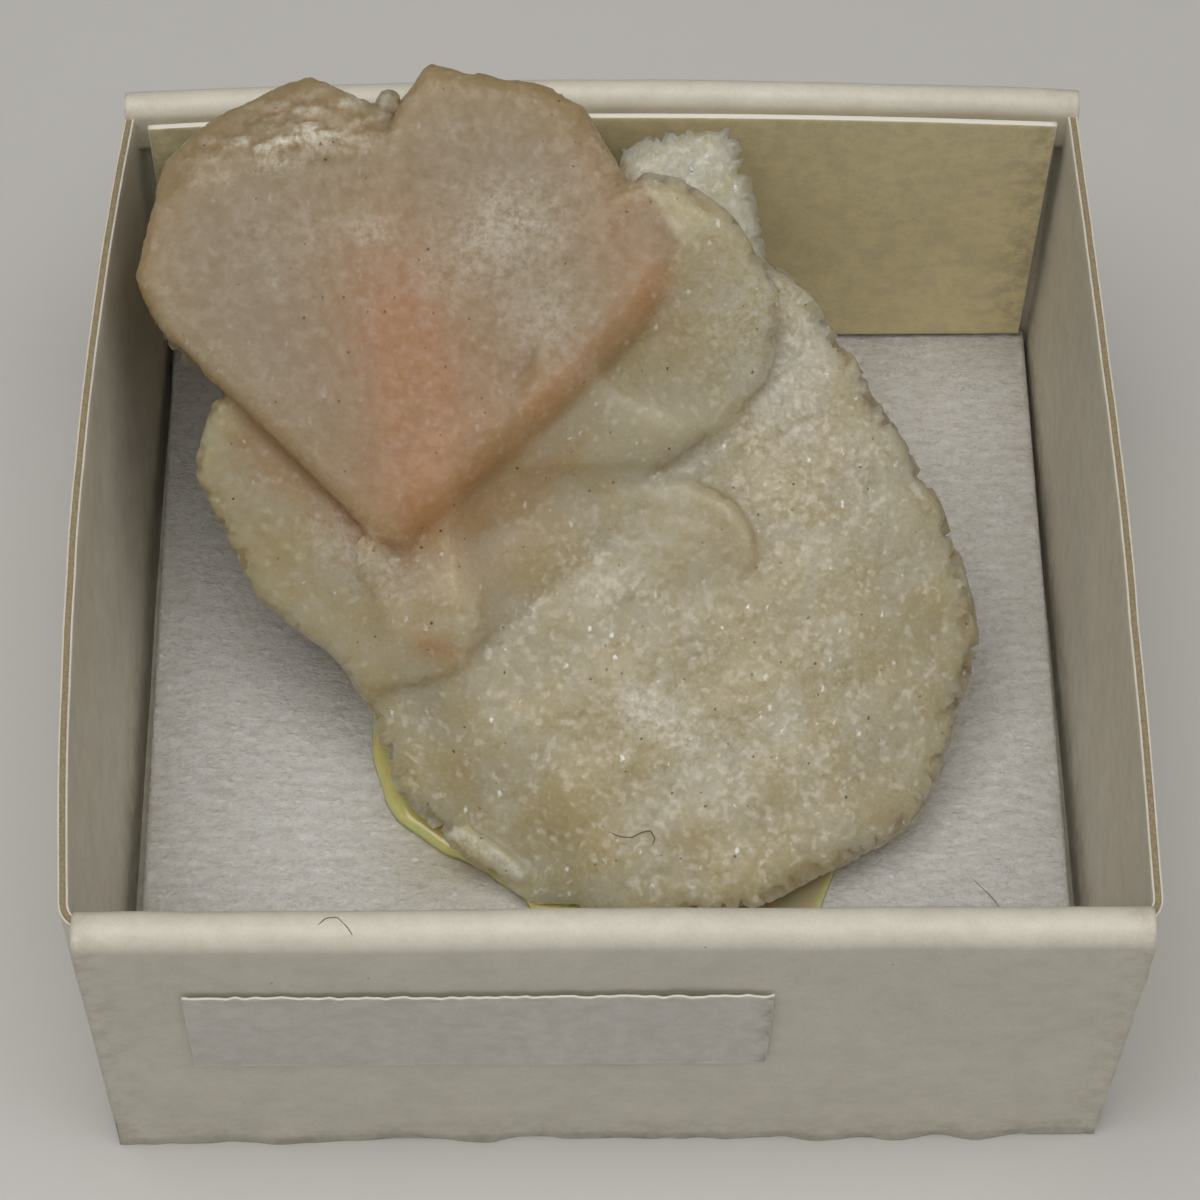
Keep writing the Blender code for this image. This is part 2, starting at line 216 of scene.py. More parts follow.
def bevel_planes(corners, centre, width, slope, level):
    """Planes that cut an outline's rim: they start the given width inside it at the level."""
    normals, distances = side_planes(corners, centre)
    width = np.broadcast_to(np.array(width, float), distances.shape)
    tilted = normals.copy()
    tilted[:, 2] = 1.0 / np.broadcast_to(np.array(slope, float), distances.shape)
    tilted[:, 2] *= np.sign(level - centre[2])
    reach = distances - width + (level - centre[2]) * tilted[:, 2]
    size = np.linalg.norm(tilted, axis=1)
    return tilted / size[:, None], reach / size


# ---- fine relief ----


def scattered(cells, seed, count):
    """Numbers from 0 to 1 that depend only on a cell's three whole numbers, a few per cell."""
    mixed = cells[..., 0] * 73856093 ^ cells[..., 1] * 19349663 ^ cells[..., 2] * 83492791
    mixed = (mixed + seed * 2654435761) & 0xFFFFFFFF
    found = []
    for step in range(count):
        mixed = (mixed ^ (mixed >> 15)) * 2246822519 & 0xFFFFFFFF
        mixed = (mixed ^ (mixed >> 13)) * 3266489917 & 0xFFFFFFFF
        mixed = mixed ^ (mixed >> 16)
        found.append(mixed / 4294967296.0)
        mixed = mixed + 40503 * (step + 1) & 0xFFFFFFFF
    return np.stack(found, -1)


def crystal_shapes(kinds, seed):
    """Face normals of a few dozen small blunt prisms, each turned its own way, and how far each
    face stands from the middle."""
    chance = np.random.default_rng(seed)
    faces = np.array(
        [(1, 0, 0), (-1, 0, 0), (0, 1, 0), (0, -1, 0), (0.75, 0, 0.66), (-0.75, 0, 0.66), (0.75, 0, -0.66), (-0.75, 0, -0.66)]
    )
    reach = np.array([0.62, 0.62, 0.9, 0.9, 0.8, 0.8, 0.8, 0.8])
    turns, _ = np.linalg.qr(chance.normal(size=(kinds, 3, 3)))
    stretch = chance.uniform(0.8, 1.15, size=(kinds, 1))
    return np.einsum("kij,mj->kmi", turns, faces), reach * stretch


def grain_height(points, outward, cell, sizes, seed, most):
    """How far a crust of small crystals stands out at each point: in every cell of a cubic grid
    lies one crystal, and the height is where the outward line last leaves any crystal nearby."""
    normals, reaches = crystal_shapes(64, seed)
    home = np.floor(points / cell).astype(np.int64)
    height = np.zeros(len(points))
    for shift in np.ndindex(3, 3, 3):
        cells = home + np.array(shift) - 1
        chance = scattered(cells, seed, 5)
        centre = (cells + 0.5 + (chance[:, :3] - 0.5) * 0.9) * cell
        size = sizes[0] + (sizes[1] - sizes[0]) * chance[:, 3]
        kind = (chance[:, 4] * 64).astype(int) % 64
        faces = normals[kind]
        along = (faces * outward[:, None, :]).sum(-1)
        away = reaches[kind] * size[:, None] - (faces * (points - centre)[:, None, :]).sum(-1)
        with np.errstate(divide="ignore", invalid="ignore"):
            crossing = away / along
        leaves = np.where(along > 1e-6, crossing, np.inf).min(axis=1)
        enters = np.where(along < -1e-6, crossing, -np.inf).max(axis=1)
        height = np.maximum(height, np.where(leaves > enters, leaves, 0.0))
    return np.minimum(height, most)


def rough(values, seed, size):
    """Smooth noise from -1 to 1 over two or three coordinates: values at the corners of cells,
    blended across each cell."""
    spots = values / size
    home = np.floor(spots).astype(np.int64)
    part = spots - home
    part = part * part * (3 - 2 * part)
    if values.shape[1] == 2:
        home = np.concatenate([home, np.zeros((len(home), 1), np.int64)], axis=1)
        part = np.concatenate([part, np.zeros((len(part), 1))], axis=1)
    total = np.zeros(len(values))
    for shift in np.ndindex(2, 2, 2 if values.shape[1] == 3 else 1):
        corner = np.array(shift)
        share = np.where(corner == 1, part, 1 - part).prod(axis=1)
        total += share * (scattered(home + corner, seed, 1)[:, 0] * 2 - 1)
    return total


def spot(a, b, middle, size, turn=0.0):
    """A soft round or oval patch on the face: 1 in its middle, falling as a bell."""
    angle = math.radians(turn)
    along = (a - middle[0]) * math.cos(angle) + (b - middle[1]) * math.sin(angle)
    beside = -(a - middle[0]) * math.sin(angle) + (b - middle[1]) * math.cos(angle)
    return np.exp(-((along / size[0]) ** 2) - (beside / size[1]) ** 2)


def near_line(a, b, ends, width):
    """1 on a straight line between two points of the face, falling as a bell beside it."""
    start, end = (np.array(point, float) for point in ends)
    along = end - start
    share = np.clip(((a - start[0]) * along[0] + (b - start[1]) * along[1]) / (along @ along), 0, 1)
    beside = np.hypot(a - start[0] - share * along[0], b - start[1] - share * along[1])
    return np.exp(-((beside / width) ** 2))


# ---- materials ----


class Recipe:
    """The nodes of one material, in millimetres of the object's own coordinates."""

    def __init__(self, name):
        self.material = bpy.data.materials.new(name)
        self.material.use_nodes = True
        self.nodes = self.material.node_tree.nodes
        self.links = self.material.node_tree.links
        self.shader = self.nodes["Principled BSDF"]
        place = self.nodes.new("ShaderNodeTexCoord")
        self.place = self.moved(place.outputs["Object"], (1 / MM,) * 3)

    def put(self, socket, value):
        """Links a socket, or sets a plain value."""
        if isinstance(value, bpy.types.NodeSocket):
            self.links.new(value, socket)
        elif socket.type == "RGBA":
            socket.default_value = (*value, 1.0)
        else:
            socket.default_value = value

    def set(self, **values):
        for name, value in values.items():
            self.put(self.shader.inputs[name.replace("_", " ")], value)

    def moved(self, vector, scale, turn=(0, 0, 0)):
        node = self.nodes.new("ShaderNodeMapping")
        node.inputs["Scale"].default_value = scale
        node.inputs["Rotation"].default_value = turn
        self.put(node.inputs["Vector"], vector)
        return node.outputs["Vector"]

    def noise(self, size, detail=3.0, roughness=0.55, twist=0.0, stretch=None, turn=(0, 0, 0)):
        """Cloudy noise with lumps of the given size, 0 to 1."""
        node = self.nodes.new("ShaderNodeTexNoise")
        self.put(node.inputs["Vector"], self.place if stretch is None else self.moved(self.place, stretch, turn))
        node.inputs["Scale"].default_value = 1 / size
        node.inputs["Detail"].default_value = detail
        node.inputs["Roughness"].default_value = roughness
        node.inputs["Distortion"].default_value = twist
        return node.outputs["Fac"]

    def cells(self, size, stretch=None, turn=(0, 0, 0), feature="F1"):
        """Distance to, and random colour of, the nearest of scattered points."""
        node = self.nodes.new("ShaderNodeTexVoronoi")
        node.feature = feature
        self.put(node.inputs["Vector"], self.place if stretch is None else self.moved(self.place, stretch, turn))
        node.inputs["Scale"].default_value = 1 / size
        return node.outputs["Distance"], node.outputs.get("Color")

    def ramp(self, value, low, high, to=(0.0, 1.0)):
        """A smooth step from low to high."""
        node = self.nodes.new("ShaderNodeMapRange")
        node.interpolation_type = "SMOOTHSTEP"
        self.put(node.inputs["Value"], value)
        node.inputs["From Min"].default_value = low
        node.inputs["From Max"].default_value = high
        node.inputs["To Min"].default_value = to[0]
        node.inputs["To Max"].default_value = to[1]
        return node.outputs["Result"]

    def sum(self, kind, first, second):
        """ADD, MULTIPLY, MAXIMUM and so on, of two values."""
        node = self.nodes.new("ShaderNodeMath")
        node.operation = kind
        self.put(node.inputs[0], first)
        self.put(node.inputs[1], second)
        return node.outputs["Value"]

    def blend(self, share, first, second, kind="MIX"):
        node = self.nodes.new("ShaderNodeMix")
        node.data_type = "RGBA"
        node.blend_type = kind
        self.put(node.inputs["Factor"], share)
        self.put(node.inputs[6], first)
        self.put(node.inputs[7], second)
        return node.outputs[2]

    def zones(self, name="zones"):
        """Four values that the mesh carries, as separate sockets."""
        node = self.nodes.new("ShaderNodeAttribute")
        node.attribute_name = name
        split = self.nodes.new("ShaderNodeSeparateColor")
        self.put(split.inputs["Color"], node.outputs["Color"])
        return (*(split.outputs[name] for name in ("Red", "Green", "Blue")), node.outputs["Alpha"])

    def bump(self, height, depth, strength=1.0, normal=None):
        """A normal from a height of the given depth in millimetres."""
        node = self.nodes.new("ShaderNodeBump")
        self.put(node.inputs["Height"], height)
        node.inputs["Distance"].default_value = depth * MM
        node.inputs["Strength"].default_value = strength
        if normal is not None:
            self.put(node.inputs["Normal"], normal)
        return node.outputs["Normal"]

    def facets(self, size, tilt, normal=None):
        """Small flat facets: each cell tips the normal its own way."""
        _, chance = self.cells(size)
        shift = self.nodes.new("ShaderNodeVectorMath")
        shift.operation = "SUBTRACT"
        self.put(shift.inputs[0], chance)
        shift.inputs[1].default_value = (0.5, 0.5, 0.5)
        scale = self.nodes.new("ShaderNodeVectorMath")
        scale.operation = "SCALE"
        self.put(scale.inputs[0], shift.outputs[0])
        scale.inputs["Scale"].default_value = tilt
        if normal is None:
            normal = self.nodes.new("ShaderNodeNewGeometry").outputs["Normal"]
        add = self.nodes.new("ShaderNodeVectorMath")
        self.put(add.inputs[0], normal)
        self.put(add.inputs[1], scale.outputs[0])
        unit = self.nodes.new("ShaderNodeVectorMath")
        unit.operation = "NORMALIZE"
        self.put(unit.inputs[0], add.outputs[0])
        return unit.outputs[0]


def stone_material(name, colours):
    """Cloudy stilbite. The mesh carries blush, frost, smoke and stain, and how sugary each part
    is: from 0 on the broad faces to 1 on the matrix."""
    r = Recipe(name)
    blush, frost, smoke, stain = r.zones()
    sugar, sheaf, _, _ = r.zones("sugar")
    cloud = r.noise(3.4, 4, 0.55, 0.5)
    mottle = r.noise(0.8, 6, 0.62)
    grit = r.noise(0.2, 4, 0.68)
    base = r.blend(r.ramp(cloud, 0.38, 0.62), colours.cream, colours.green)
    base = r.blend(r.ramp(sheaf, 0.0, 1.0, (0.0, 0.9)), base, colours.beige)
    base = r.blend(r.sum("MULTIPLY", smoke, r.ramp(mottle, 0.2, 0.7, (0.75, 1.0))), base, colours.smoke)
    base = r.blend(r.sum("MULTIPLY", blush, r.ramp(mottle, 0.2, 0.75, (0.8, 1.0))), base, colours.pink)
    base = r.blend(r.sum("MULTIPLY", stain, r.ramp(r.noise(0.4, 6, 0.7), 0.35, 0.62)), base, colours.stain)
    wisp = r.noise(1.1, 9, 0.74, 0.8)
    white = r.sum("MULTIPLY", frost, r.ramp(r.noise(0.4, 7, 0.72), 0.32, 0.62))
    white = r.sum("ADD", white, r.ramp(wisp, 0.56, 0.72, (0.0, 0.2)))
    base = r.blend(r.sum("MINIMUM", white, 0.9), base, colours.frost)
    light = r.sum("MULTIPLY", r.ramp(grit, 0.52, 0.7, (0.0, 0.2)), r.ramp(sugar, 0.0, 1.0, (0.25, 1.0)))
    base = r.blend(light, base, (0.9, 0.89, 0.84))
    dark = r.sum("MULTIPLY", r.ramp(grit, 0.48, 0.32, (0.0, 0.5)), r.ramp(sugar, 0.0, 1.0, (0.4, 1.0)))
    base = r.blend(dark, base, (0.82, 0.81, 0.76), "MULTIPLY")
    # bright flecks where a facet or a small crack catches the light
    bend = r.sum("MULTIPLY", r.noise(0.16, 3, 0.7), 0.55)
    away, chance = r.cells(0.6, (1.0, 0.55, 0.8), (0.3, 0.2, 0.9))
    flock = r.ramp(r.noise(1.6, 3, 0.6), 0.4, 0.62)
    fleck = r.sum("MULTIPLY", r.ramp(r.sum("ADD", away, bend), 0.46, 0.36), r.ramp(r.sum("ADD", chance, r.sum("MULTIPLY", flock, 0.4)), 0.8, 0.95))
    base = r.blend(r.sum("MULTIPLY", fleck, r.ramp(sugar, 0.0, 1.0, (0.12, 0.85))), base, (0.95, 0.95, 0.93))
    # specks of dirt
    away, chance = r.cells(0.6)
    speck = r.sum("MULTIPLY", r.ramp(r.sum("ADD", away, bend), 0.37, 0.32), r.ramp(chance, 0.5, 0.6))
    base = r.blend(r.sum("MULTIPLY", speck, 0.85), base, (0.08, 0.055, 0.03))
    height = r.sum("ADD", r.sum("MULTIPLY", grit, r.ramp(sugar, 0.0, 1.0, (0.3, 1.0))), r.sum("MULTIPLY", r.noise(0.32, 3), 1.0))
    r.set(
        Base_Color=base,
        Roughness=r.ramp(r.noise(0.5, 4), 0.3, 0.7, (0.32, 0.52)),
        IOR=1.5,
        Normal=r.bump(height, 0.03, 0.5),
        Subsurface_Weight=1.0,
        Subsurface_Scale=0.005,
        Coat_Weight=r.ramp(sugar, 0.0, 1.0, (0.15, 0.5)),
        Coat_Roughness=0.14,
        Coat_IOR=1.6,
        Coat_Normal=r.facets(0.26, 1.0),
    )
    r.shader.inputs["Subsurface Radius"].default_value = (1.0, 0.8, 0.55)
    return r.material


def card_material(name, colour, colours):
    """Coated board: a smooth coat with faint mottling and grime, greyboard where it is cut.
    The mesh carries core, grime and wear."""
    r = Recipe(name)
    core, grime, wear, _ = r.zones()
    coat = r.blend(r.ramp(r.noise(2.6, 5, 0.6), 0.3, 0.7), colour, tuple(c * 0.93 for c in colour))
    coat = r.blend(r.ramp(r.noise(0.12, 3), 0.4, 0.75, (0, 0.12)), coat, (0.5, 0.45, 0.35), "MULTIPLY")
    coat = r.blend(r.sum("MULTIPLY", grime, r.ramp(r.noise(1.1, 7, 0.7), 0.38, 0.68)), coat, colours.grime)
    coat = r.blend(r.sum("MULTIPLY", wear, r.ramp(r.noise(0.4, 5, 0.7), 0.4, 0.6)), coat, colours.liner)
    away, chance = r.cells(2.2)
    speck = r.sum("MULTIPLY", r.ramp(away, 0.035, 0.018), r.ramp(chance, 0.45, 0.5))
    coat = r.blend(r.sum("MULTIPLY", speck, 0.6), coat, (0.1, 0.08, 0.05))
    fibre = r.noise(0.1, 5, 0.7, 0.4)
    board = r.blend(r.ramp(fibre, 0.3, 0.7), tuple(c * 0.6 for c in colours.board), colours.board)
    base = r.blend(core, coat, board)
    height = r.sum("ADD", r.sum("MULTIPLY", r.noise(0.5, 4), 0.4), r.sum("MULTIPLY", core, r.sum("MULTIPLY", fibre, 3.0)))
    r.set(
        Base_Color=base,
        Roughness=r.sum("ADD", r.ramp(r.noise(1.5, 4), 0.3, 0.7, (0.42, 0.58)), r.sum("MULTIPLY", core, 0.3)),
        IOR=1.45,
        Normal=r.bump(height, 0.03, 0.5),
        Subsurface_Weight=0.0,
    )
    return r.material


def foam_material(colour):
    """White polyethylene foam with a silky skin: fine streaks along x that catch the light."""
    r = Recipe("silky white foam")
    grime, lower_left, damp_and_shadow, _ = r.zones()
    streak = r.noise(0.45, 7, 0.7, 0.4, (0.5, 1.0, 1.0), (0, 0, 0.1))
    grain = r.noise(0.25, 5, 0.7, 0.3, (0.7, 1.0, 1.0))
    away, chance = r.cells(0.4, (0.7, 1.0, 1.0))
    base = r.blend(r.ramp(r.noise(5, 4), 0.3, 0.7), colour, tuple(c * 0.93 for c in colour))
    # painted sheen and shade: the streaks' crests are lightened, and their troughs and the grain's hollows darkened, in
    # the base colour
    base = r.blend(r.ramp(streak, 0.5, 0.66, (0, 0.9)), base, (0.97, 0.97, 0.98))
    base = r.blend(r.ramp(streak, 0.5, 0.36, (0, 0.35)), base, (0.78, 0.76, 0.73), "MULTIPLY")
    base = r.blend(r.ramp(grain, 0.5, 0.36, (0, 0.35)), base, (0.72, 0.7, 0.67), "MULTIPLY")
    # darker and browner where the first zone is high, towards the walls
    base = r.blend(r.sum("MULTIPLY", grime, r.ramp(r.noise(1.5, 6, 0.65), 0.3, 0.7)), base, (0.55, 0.47, 0.33))
    # partly a damp stain, partly painted shadow: a dull beige patch where the stone's overhang shades the foam by its
    # lower front edge
    base = r.blend(damp_and_shadow, base, (0.62, 0.56, 0.36))
    # painted glints: small white dots in the base colour, strongest at the lower left; the same dots raise the bump a
    # little
    painted_glint = r.sum("MULTIPLY", r.ramp(away, 0.38, 0.12), r.ramp(chance, 0.45, 0.75))
    base = r.blend(r.sum("MULTIPLY", painted_glint, r.ramp(lower_left, 0.0, 1.0, (0.6, 0.95))), base, (1.0, 1.0, 1.0))
    height = r.sum("ADD", streak, r.sum("MULTIPLY", grain, 0.7))
    height = r.sum("ADD", height, r.sum("MULTIPLY", painted_glint, 0.25))
    r.set(
        Base_Color=base,
        Roughness=r.ramp(grain, 0.3, 0.7, (0.2, 0.4)),
        IOR=1.6,
        Normal=r.bump(height, 0.3, 1.0),
        Sheen_Weight=0.15,
    )
    return r.material


def paper_material(name, colour, gloss):
    """Bare printed-card stock: even colour, faint fibres and soft handling marks."""
    r = Recipe(name)
    grime, edge, _, _ = r.zones()
    base = r.blend(r.ramp(r.noise(4, 4), 0.3, 0.7), colour, tuple(c * 0.95 for c in colour))
    base = r.blend(r.ramp(r.noise(0.09, 4, 0.6), 0.35, 0.7, (0, 0.1)), base, (0.5, 0.45, 0.3), "MULTIPLY")
    base = r.blend(r.sum("MULTIPLY", grime, r.ramp(r.noise(0.9, 7, 0.7), 0.36, 0.66)), base, (0.3, 0.25, 0.17))
    base = r.blend(edge, base, (0.9, 0.88, 0.8))
    r.set(
        Base_Color=base,
        Roughness=r.ramp(r.noise(0.8, 3), 0.3, 0.7, (gloss, gloss + 0.12)),
        IOR=1.45,
        Normal=r.bump(r.noise(0.2, 5, 0.6), 0.012, 0.6),
    )
    return r.material


def glue_material(colour):
    """Clear glue that has yellowed: glossy and cloudy, deeper yellow where it is thick."""
    r = Recipe("yellowed clear glue")
    thick, skin, _, _ = r.zones()
    away, _ = r.cells(0.6)
    scuff = r.noise(0.7, 5, 0.6)
    base = r.blend(r.ramp(scuff, 0.35, 0.7, (0.0, 0.4)), colour, tuple(min(1.0, c * 1.25) for c in colour))
    base = r.blend(thick, base, (0.56, 0.49, 0.13))
    # partly the glue's skin, partly painted shadow: the front of the pool, under the stone's overhanging edge, is
    # darker olive-brown
    base = r.blend(skin, base, (0.50, 0.43, 0.27))
    base = r.blend(r.ramp(away, 0.1, 0.05, (0, 0.3)), base, (0.9, 0.88, 0.7))
    r.set(
        Base_Color=base,
        Roughness=r.ramp(scuff, 0.4, 0.75, (0.1, 0.28)),
        IOR=1.47,
        Subsurface_Weight=1.0,
        Subsurface_Scale=0.0008,
        Coat_Weight=0.5,
        Coat_Roughness=0.06,
        Normal=r.bump(scuff, 0.03, 0.4),
    )
    return r.material


def fibre_material(name, colour):
    """A stray fibre or crumb of dirt, darker and lighter along its length."""
    r = Recipe(name)
    r.set(
        Base_Color=r.blend(r.noise(0.3, 4), colour, tuple(min(1.0, c * 1.7) for c in colour)),
        Roughness=r.ramp(r.noise(0.2, 2), 0.3, 0.7, (0.5, 0.75)),
    )
    return r.material


def floor_material(colour):
    r = Recipe("pale studio floor")
    r.set(
        Base_Color=r.blend(r.ramp(r.noise(60, 3), 0.3, 0.7), colour, tuple(c * 0.985 for c in colour)),
        Roughness=r.ramp(r.noise(4, 3), 0.3, 0.7, (0.55, 0.62)),
    )
    return r.material


# ---- the crystals ----

MASS_CENTRE = np.array([2.0, 0.5, -4.5])
MASS_SIDES = (
    (18, 11.75),
    (32, 11.0),
    (60, 13.0),
    (88, 14.8),
    (144, 11.2),
    (172, 11.6),
    (198, 12.3),
    (224, 13.3),
    (272, 13.9),
    (284, 13.7),
    (296, 13.7),
    (340, 13.4),
)
MASS_FACES = (
    ((0.03, 0.075, 1.0), (0.0, 0.0, -0.6)),
    ((0.32, 0.05, 1.0), (10.5, 0.0, -1.1)),
    ((-0.28, -0.22, 1.0), (-5.0, -6.0, -0.4)),
    ((0.85, 0.0, -0.4), (15.7, -2.0, -2.6)),
    ((-0.85, -0.15, -0.5), (-9.6, -5.0, -2.6)),
    ((0.3, 0.5, -0.8), (8.0, 12.0, -5.5)),
    ((0.0, 0.0, -1.0), (0.0, 0.0, -10.5)),
)
LUMPS = (
    (0.07, (1.1, 0.7, 0.0), 0.0),
    (0.05, (-0.9, 1.7, 0.0), 1.0),
    (0.08, (1.0, 0.0, 2.3), 0.0),
)
WAIST = np.array([-8.8, 2.0])

LEFT_LOBE = (
    (-8.2, 1.6), (-7.6, 18.5), (-9.3, 19.35), (-11.9, 20.85), (-16.0, 19.0), (-17.9, 17.2), (-18.95, 12.4), (-18.1, 10.5), (-9.4, 2.0),
)
RIGHT_LOBE = (
    (-9.6, 2.6), (-8.3, 1.8), (-1.9, 7.4), (1.2, 10.5), (2.5, 13.6), (1.4, 15.5), (-0.8, 19.3), (-2.6, 20.2), (-7.1, 21.0), (-8.4, 19.3), (-9.8, 15.5),
)
RIGHT_PLATE = (
    (-3.0, 5.0), (2.2, 5.5), (4.8, 6.9), (6.45, 8.5), (6.75, 11.8), (4.9, 14.7), (3.0, 16.1), (1.3, 16.4), (-3.0, 14.0),
)
UPPER_RIGHT_STEP = ((0.5, 15.9), (-1.0, 12.0), (2.0, 12.2), (5.15, 13.3), (4.6, 14.8), (2.6, 16.2))
WAIST_STEP = ((-10.2, 1.0), (-8.4, -1.2), (-4.6, -0.6), (0.6, 3.4), (2.6, 6.2), (-2.0, 9.0), (-8.0, 6.0))
LEFT_PLATE = ((-15.4, 8.1), (-16.5, 4.8), (-15.3, 2.2), (-14.0, -0.4), (-9.4, -3.8), (-6.0, -3.0), (-6.0, 5.0), (-11.0, 8.5))
LEFT_PLATE_STEP = ((-14.8, 6.8), (-14.6, 3.6), (-12.6, 0.6), (-9.2, -1.2), (-7.0, 0.5), (-8.0, 4.0), (-12.0, 7.4))
SMALL_PLATE = ((3.2, 4.1), (0.8, 3.0), (1.4, 0.9), (3.8, -0.7), (5.2, -0.1), (6.1, 0.9), (5.9, 2.2), (5.0, 3.4))
EDGE_SHARD = ((-6.46, -10.34), (-6.01, -9.97), (-4.41, -10.88), (-3.3, -11.84), (-3.55, -12.2), (-5.07, -11.42))
NOTCH_CRYSTAL = ((-9.31, 19.37), (-9.14, 19.82), (-8.65, 19.86), (-8.41, 19.45), (-8.9, 19.04))
BACK_PEAK = ((0.6, 17.4), (-1.0, 15.0), (-1.0, 11.0), (6.6, 11.5), (6.0, 15.4), (5.2, 18.4), (4.6, 18.8), (2.1, 18.3))


def mass_planes():
    """Unit normals of the matrix's faces, and how far each stands from its centre."""
    normals, distances = [], []
    for turn, distance in MASS_SIDES:
        angle = math.radians(turn)
        normals.append((math.cos(angle), math.sin(angle), 0.0))
        distances.append(distance)
    for normal, point in MASS_FACES:
        normal = np.array(normal) / np.linalg.norm(normal)
        normals.append(normal)
        distances.append(normal @ (np.array(point) - MASS_CENTRE))
    origin = to_lean((0, 0, -LEAN_HEIGHT))
    down = to_lean((0, 0, -1))
    back = to_lean((0, 1, 0))
    normals += [down, back]
    distances.append(down @ (origin - MASS_CENTRE) - CLUSTER_BASE)
    distances.append(back @ (origin - MASS_CENTRE) + CLUSTER_BACK)
    return np.array(normals), np.array(distances)


def plane_set(corners, levels, bevels, extra):
    """Unit normals and offsets (normal . point = offset) of a flat crystal: its sides, face and
    back, a bevel along each side in front and behind, and extra planes ((normal), (point)).
    Levels are face and back; bevels are front width, front slope and back width."""
    corners = np.array(corners, float)
    face, back = levels
    centre = np.array([*corners.mean(axis=0), (face + back) / 2])
    sets = [side_planes(corners, centre)]
    sets.append(bevel_planes(corners, centre, bevels[0], bevels[1], face))
    sets.append(bevel_planes(corners, centre, bevels[2], 1.0, back))
    sets.append((np.array([[0, 0, 1.0], [0, 0, -1.0]]), np.array([face - centre[2], centre[2] - back])))
    normals = np.concatenate([item[0] for item in sets])
    offsets = np.concatenate([item[1] for item in sets]) + normals @ centre
    for normal, point in extra:
        normal = np.array(normal) / np.linalg.norm(normal)
        normals = np.vstack([normals, normal])
        offsets = np.append(offsets, normal @ np.array(point))
    return normals, offsets


UNDER = ((0.0, -0.16, -1.0), (-8.8, 2.0, -3.9))
FLATS = {
    "left_lobe": (
        LEFT_LOBE,
        (2.0, -3.4),
        (
            (0.1, 0.5, 1.4, 2.3, 1.9, 1.0, 0.5, 0.28, 0.15),
            (0.8, 0.5, 0.5, 0.55, 0.5, 0.4, 0.4, 0.5, 0.6),
            0.8,
        ),
        (((-0.035, 0.01, 1.0), (-14.0, 11.0, 1.95)), UNDER),
        16.0,
    ),
    "right_lobe": (
        RIGHT_LOBE,
        (2.0, -3.4),
        (
            (0.1, 0.2, 0.7, 1.1, 1.5, 1.4, 0.9, 0.8, 0.5, 0.2, 0.1),
            (0.8, 0.8, 0.5, 0.4, 0.4, 0.4, 0.5, 0.5, 0.5, 0.8, 0.8),
            0.8,
        ),
        (((0.035, 0.01, 1.0), (-3.5, 11.0, 1.95)), UNDER),
        16.0,
    ),
    "right_plate": (RIGHT_PLATE, (1.9, -3.2), (0.35, 1.2, 0.4), (((0.278, -0.295, 1.0), (6.4, 11.5, 0.3)),), 18.0),
    "upper_right_step": (UPPER_RIGHT_STEP, (1.4, -1.0), (0.35, 1.2, 0.4), (((0.14, 0.10, 1.0), (4.6, 14.0, 0.35)),), 18.0),
    "waist_step": (WAIST_STEP, (2.0, -3.0), (0.5, 0.6, 0.4), (((0.30, -0.40, 1.0), (-5.0, 5.0, 1.6)),), 8.0),
    "left_plate": (LEFT_PLATE, (1.4, -3.6), (0.5, 1.2, 0.5), (((-0.22, -0.28, 1.0), (-12.6, 4.6, 1.0)),), 18.0),
    "left_plate_step": (LEFT_PLATE_STEP, (0.6, -1.0), (1.6, 1.6, 0.4), (((-0.16, 0.04, 1.0), (-10.5, 2.5, 0.4)),), 8.0),
    "small_plate": (SMALL_PLATE, (0.2, -2.0), (0.25, 1.0, 0.4), (((-0.12, -0.16, 1.0), (5.4, 2.6, -0.5)),), 12.0),
    "edge_shard": (EDGE_SHARD, (-0.7, -1.9), (0.15, 1.0, 0.3), (((-0.2, -0.3, 1.0), (-4.9, -11.0, -0.85)),), 24.0),
    "notch_crystal": (NOTCH_CRYSTAL, (1.2, -0.8), (0.15, 1.0, 0.3), (((0.3, -0.2, 1.0), (-8.9, 19.4, 1.1)),), 24.0),
    "back_peak": (BACK_PEAK, (-1.6, -2.5), (0.3, 1.0, 0.2), (((0.1, 0.05, 1.0), (3.5, 15.0, -1.6)),), 10.0),
}


def soft_distance(points, normals, offsets, crispness):
    """About how far points lie outside the solid that planes bound, in millimetres: the
    logarithm of the sum of exponentials of the planes' distances, so edges come out rounded."""
    largest = np.full(points.shape[:-1], -1e9, np.float32)
    for normal, offset in zip(normals, offsets):
        largest = np.maximum(largest, points @ normal.astype(np.float32) - np.float32(offset))
    total = np.zeros_like(largest)
    for normal, offset in zip(normals, offsets):
        total += np.exp(np.maximum(crispness * (points @ normal.astype(np.float32) - np.float32(offset) - largest), -20))
    return largest + np.log(total) / crispness


def smooth_union(first, second, width):
    """The nearer of two distances, with a fillet of about the given width where they meet."""
    share = np.maximum(width - abs(first - second), 0) / width
    return np.minimum(first, second) - share * share * width / 4


def fillet_width(a, b):
    """How softly the crystals grow into each other: softly below and right of the sheaf, and
    crisply along its free edges."""
    soft = 0.9 * near_line(a, b, ((-9.4, -3.8), (-5.0, -1.6)), 1.3) + 0.9 * near_line(a, b, ((-7.0, 3.6), (2.4, 12.0)), 1.6) + 0.4 * spot(a, b, (1.5, 6.4), (4.0, 1.6), 30)
    soft += 2.0 * spot(a, b, (-5.0, 0.0), (6.0, 2.2), 30) + 1.2 * spot(a, b, (3.0, 6.6), (4.0, 1.6), 10)
    soft += 0.8 * spot(a, b, (3.0, 1.5), (2.0, 2.0)) + 0.8 * spot(a, b, (-12.0, -1.0), (2.0, 2.0))
    return 0.35 + np.minimum(soft, 3.0)


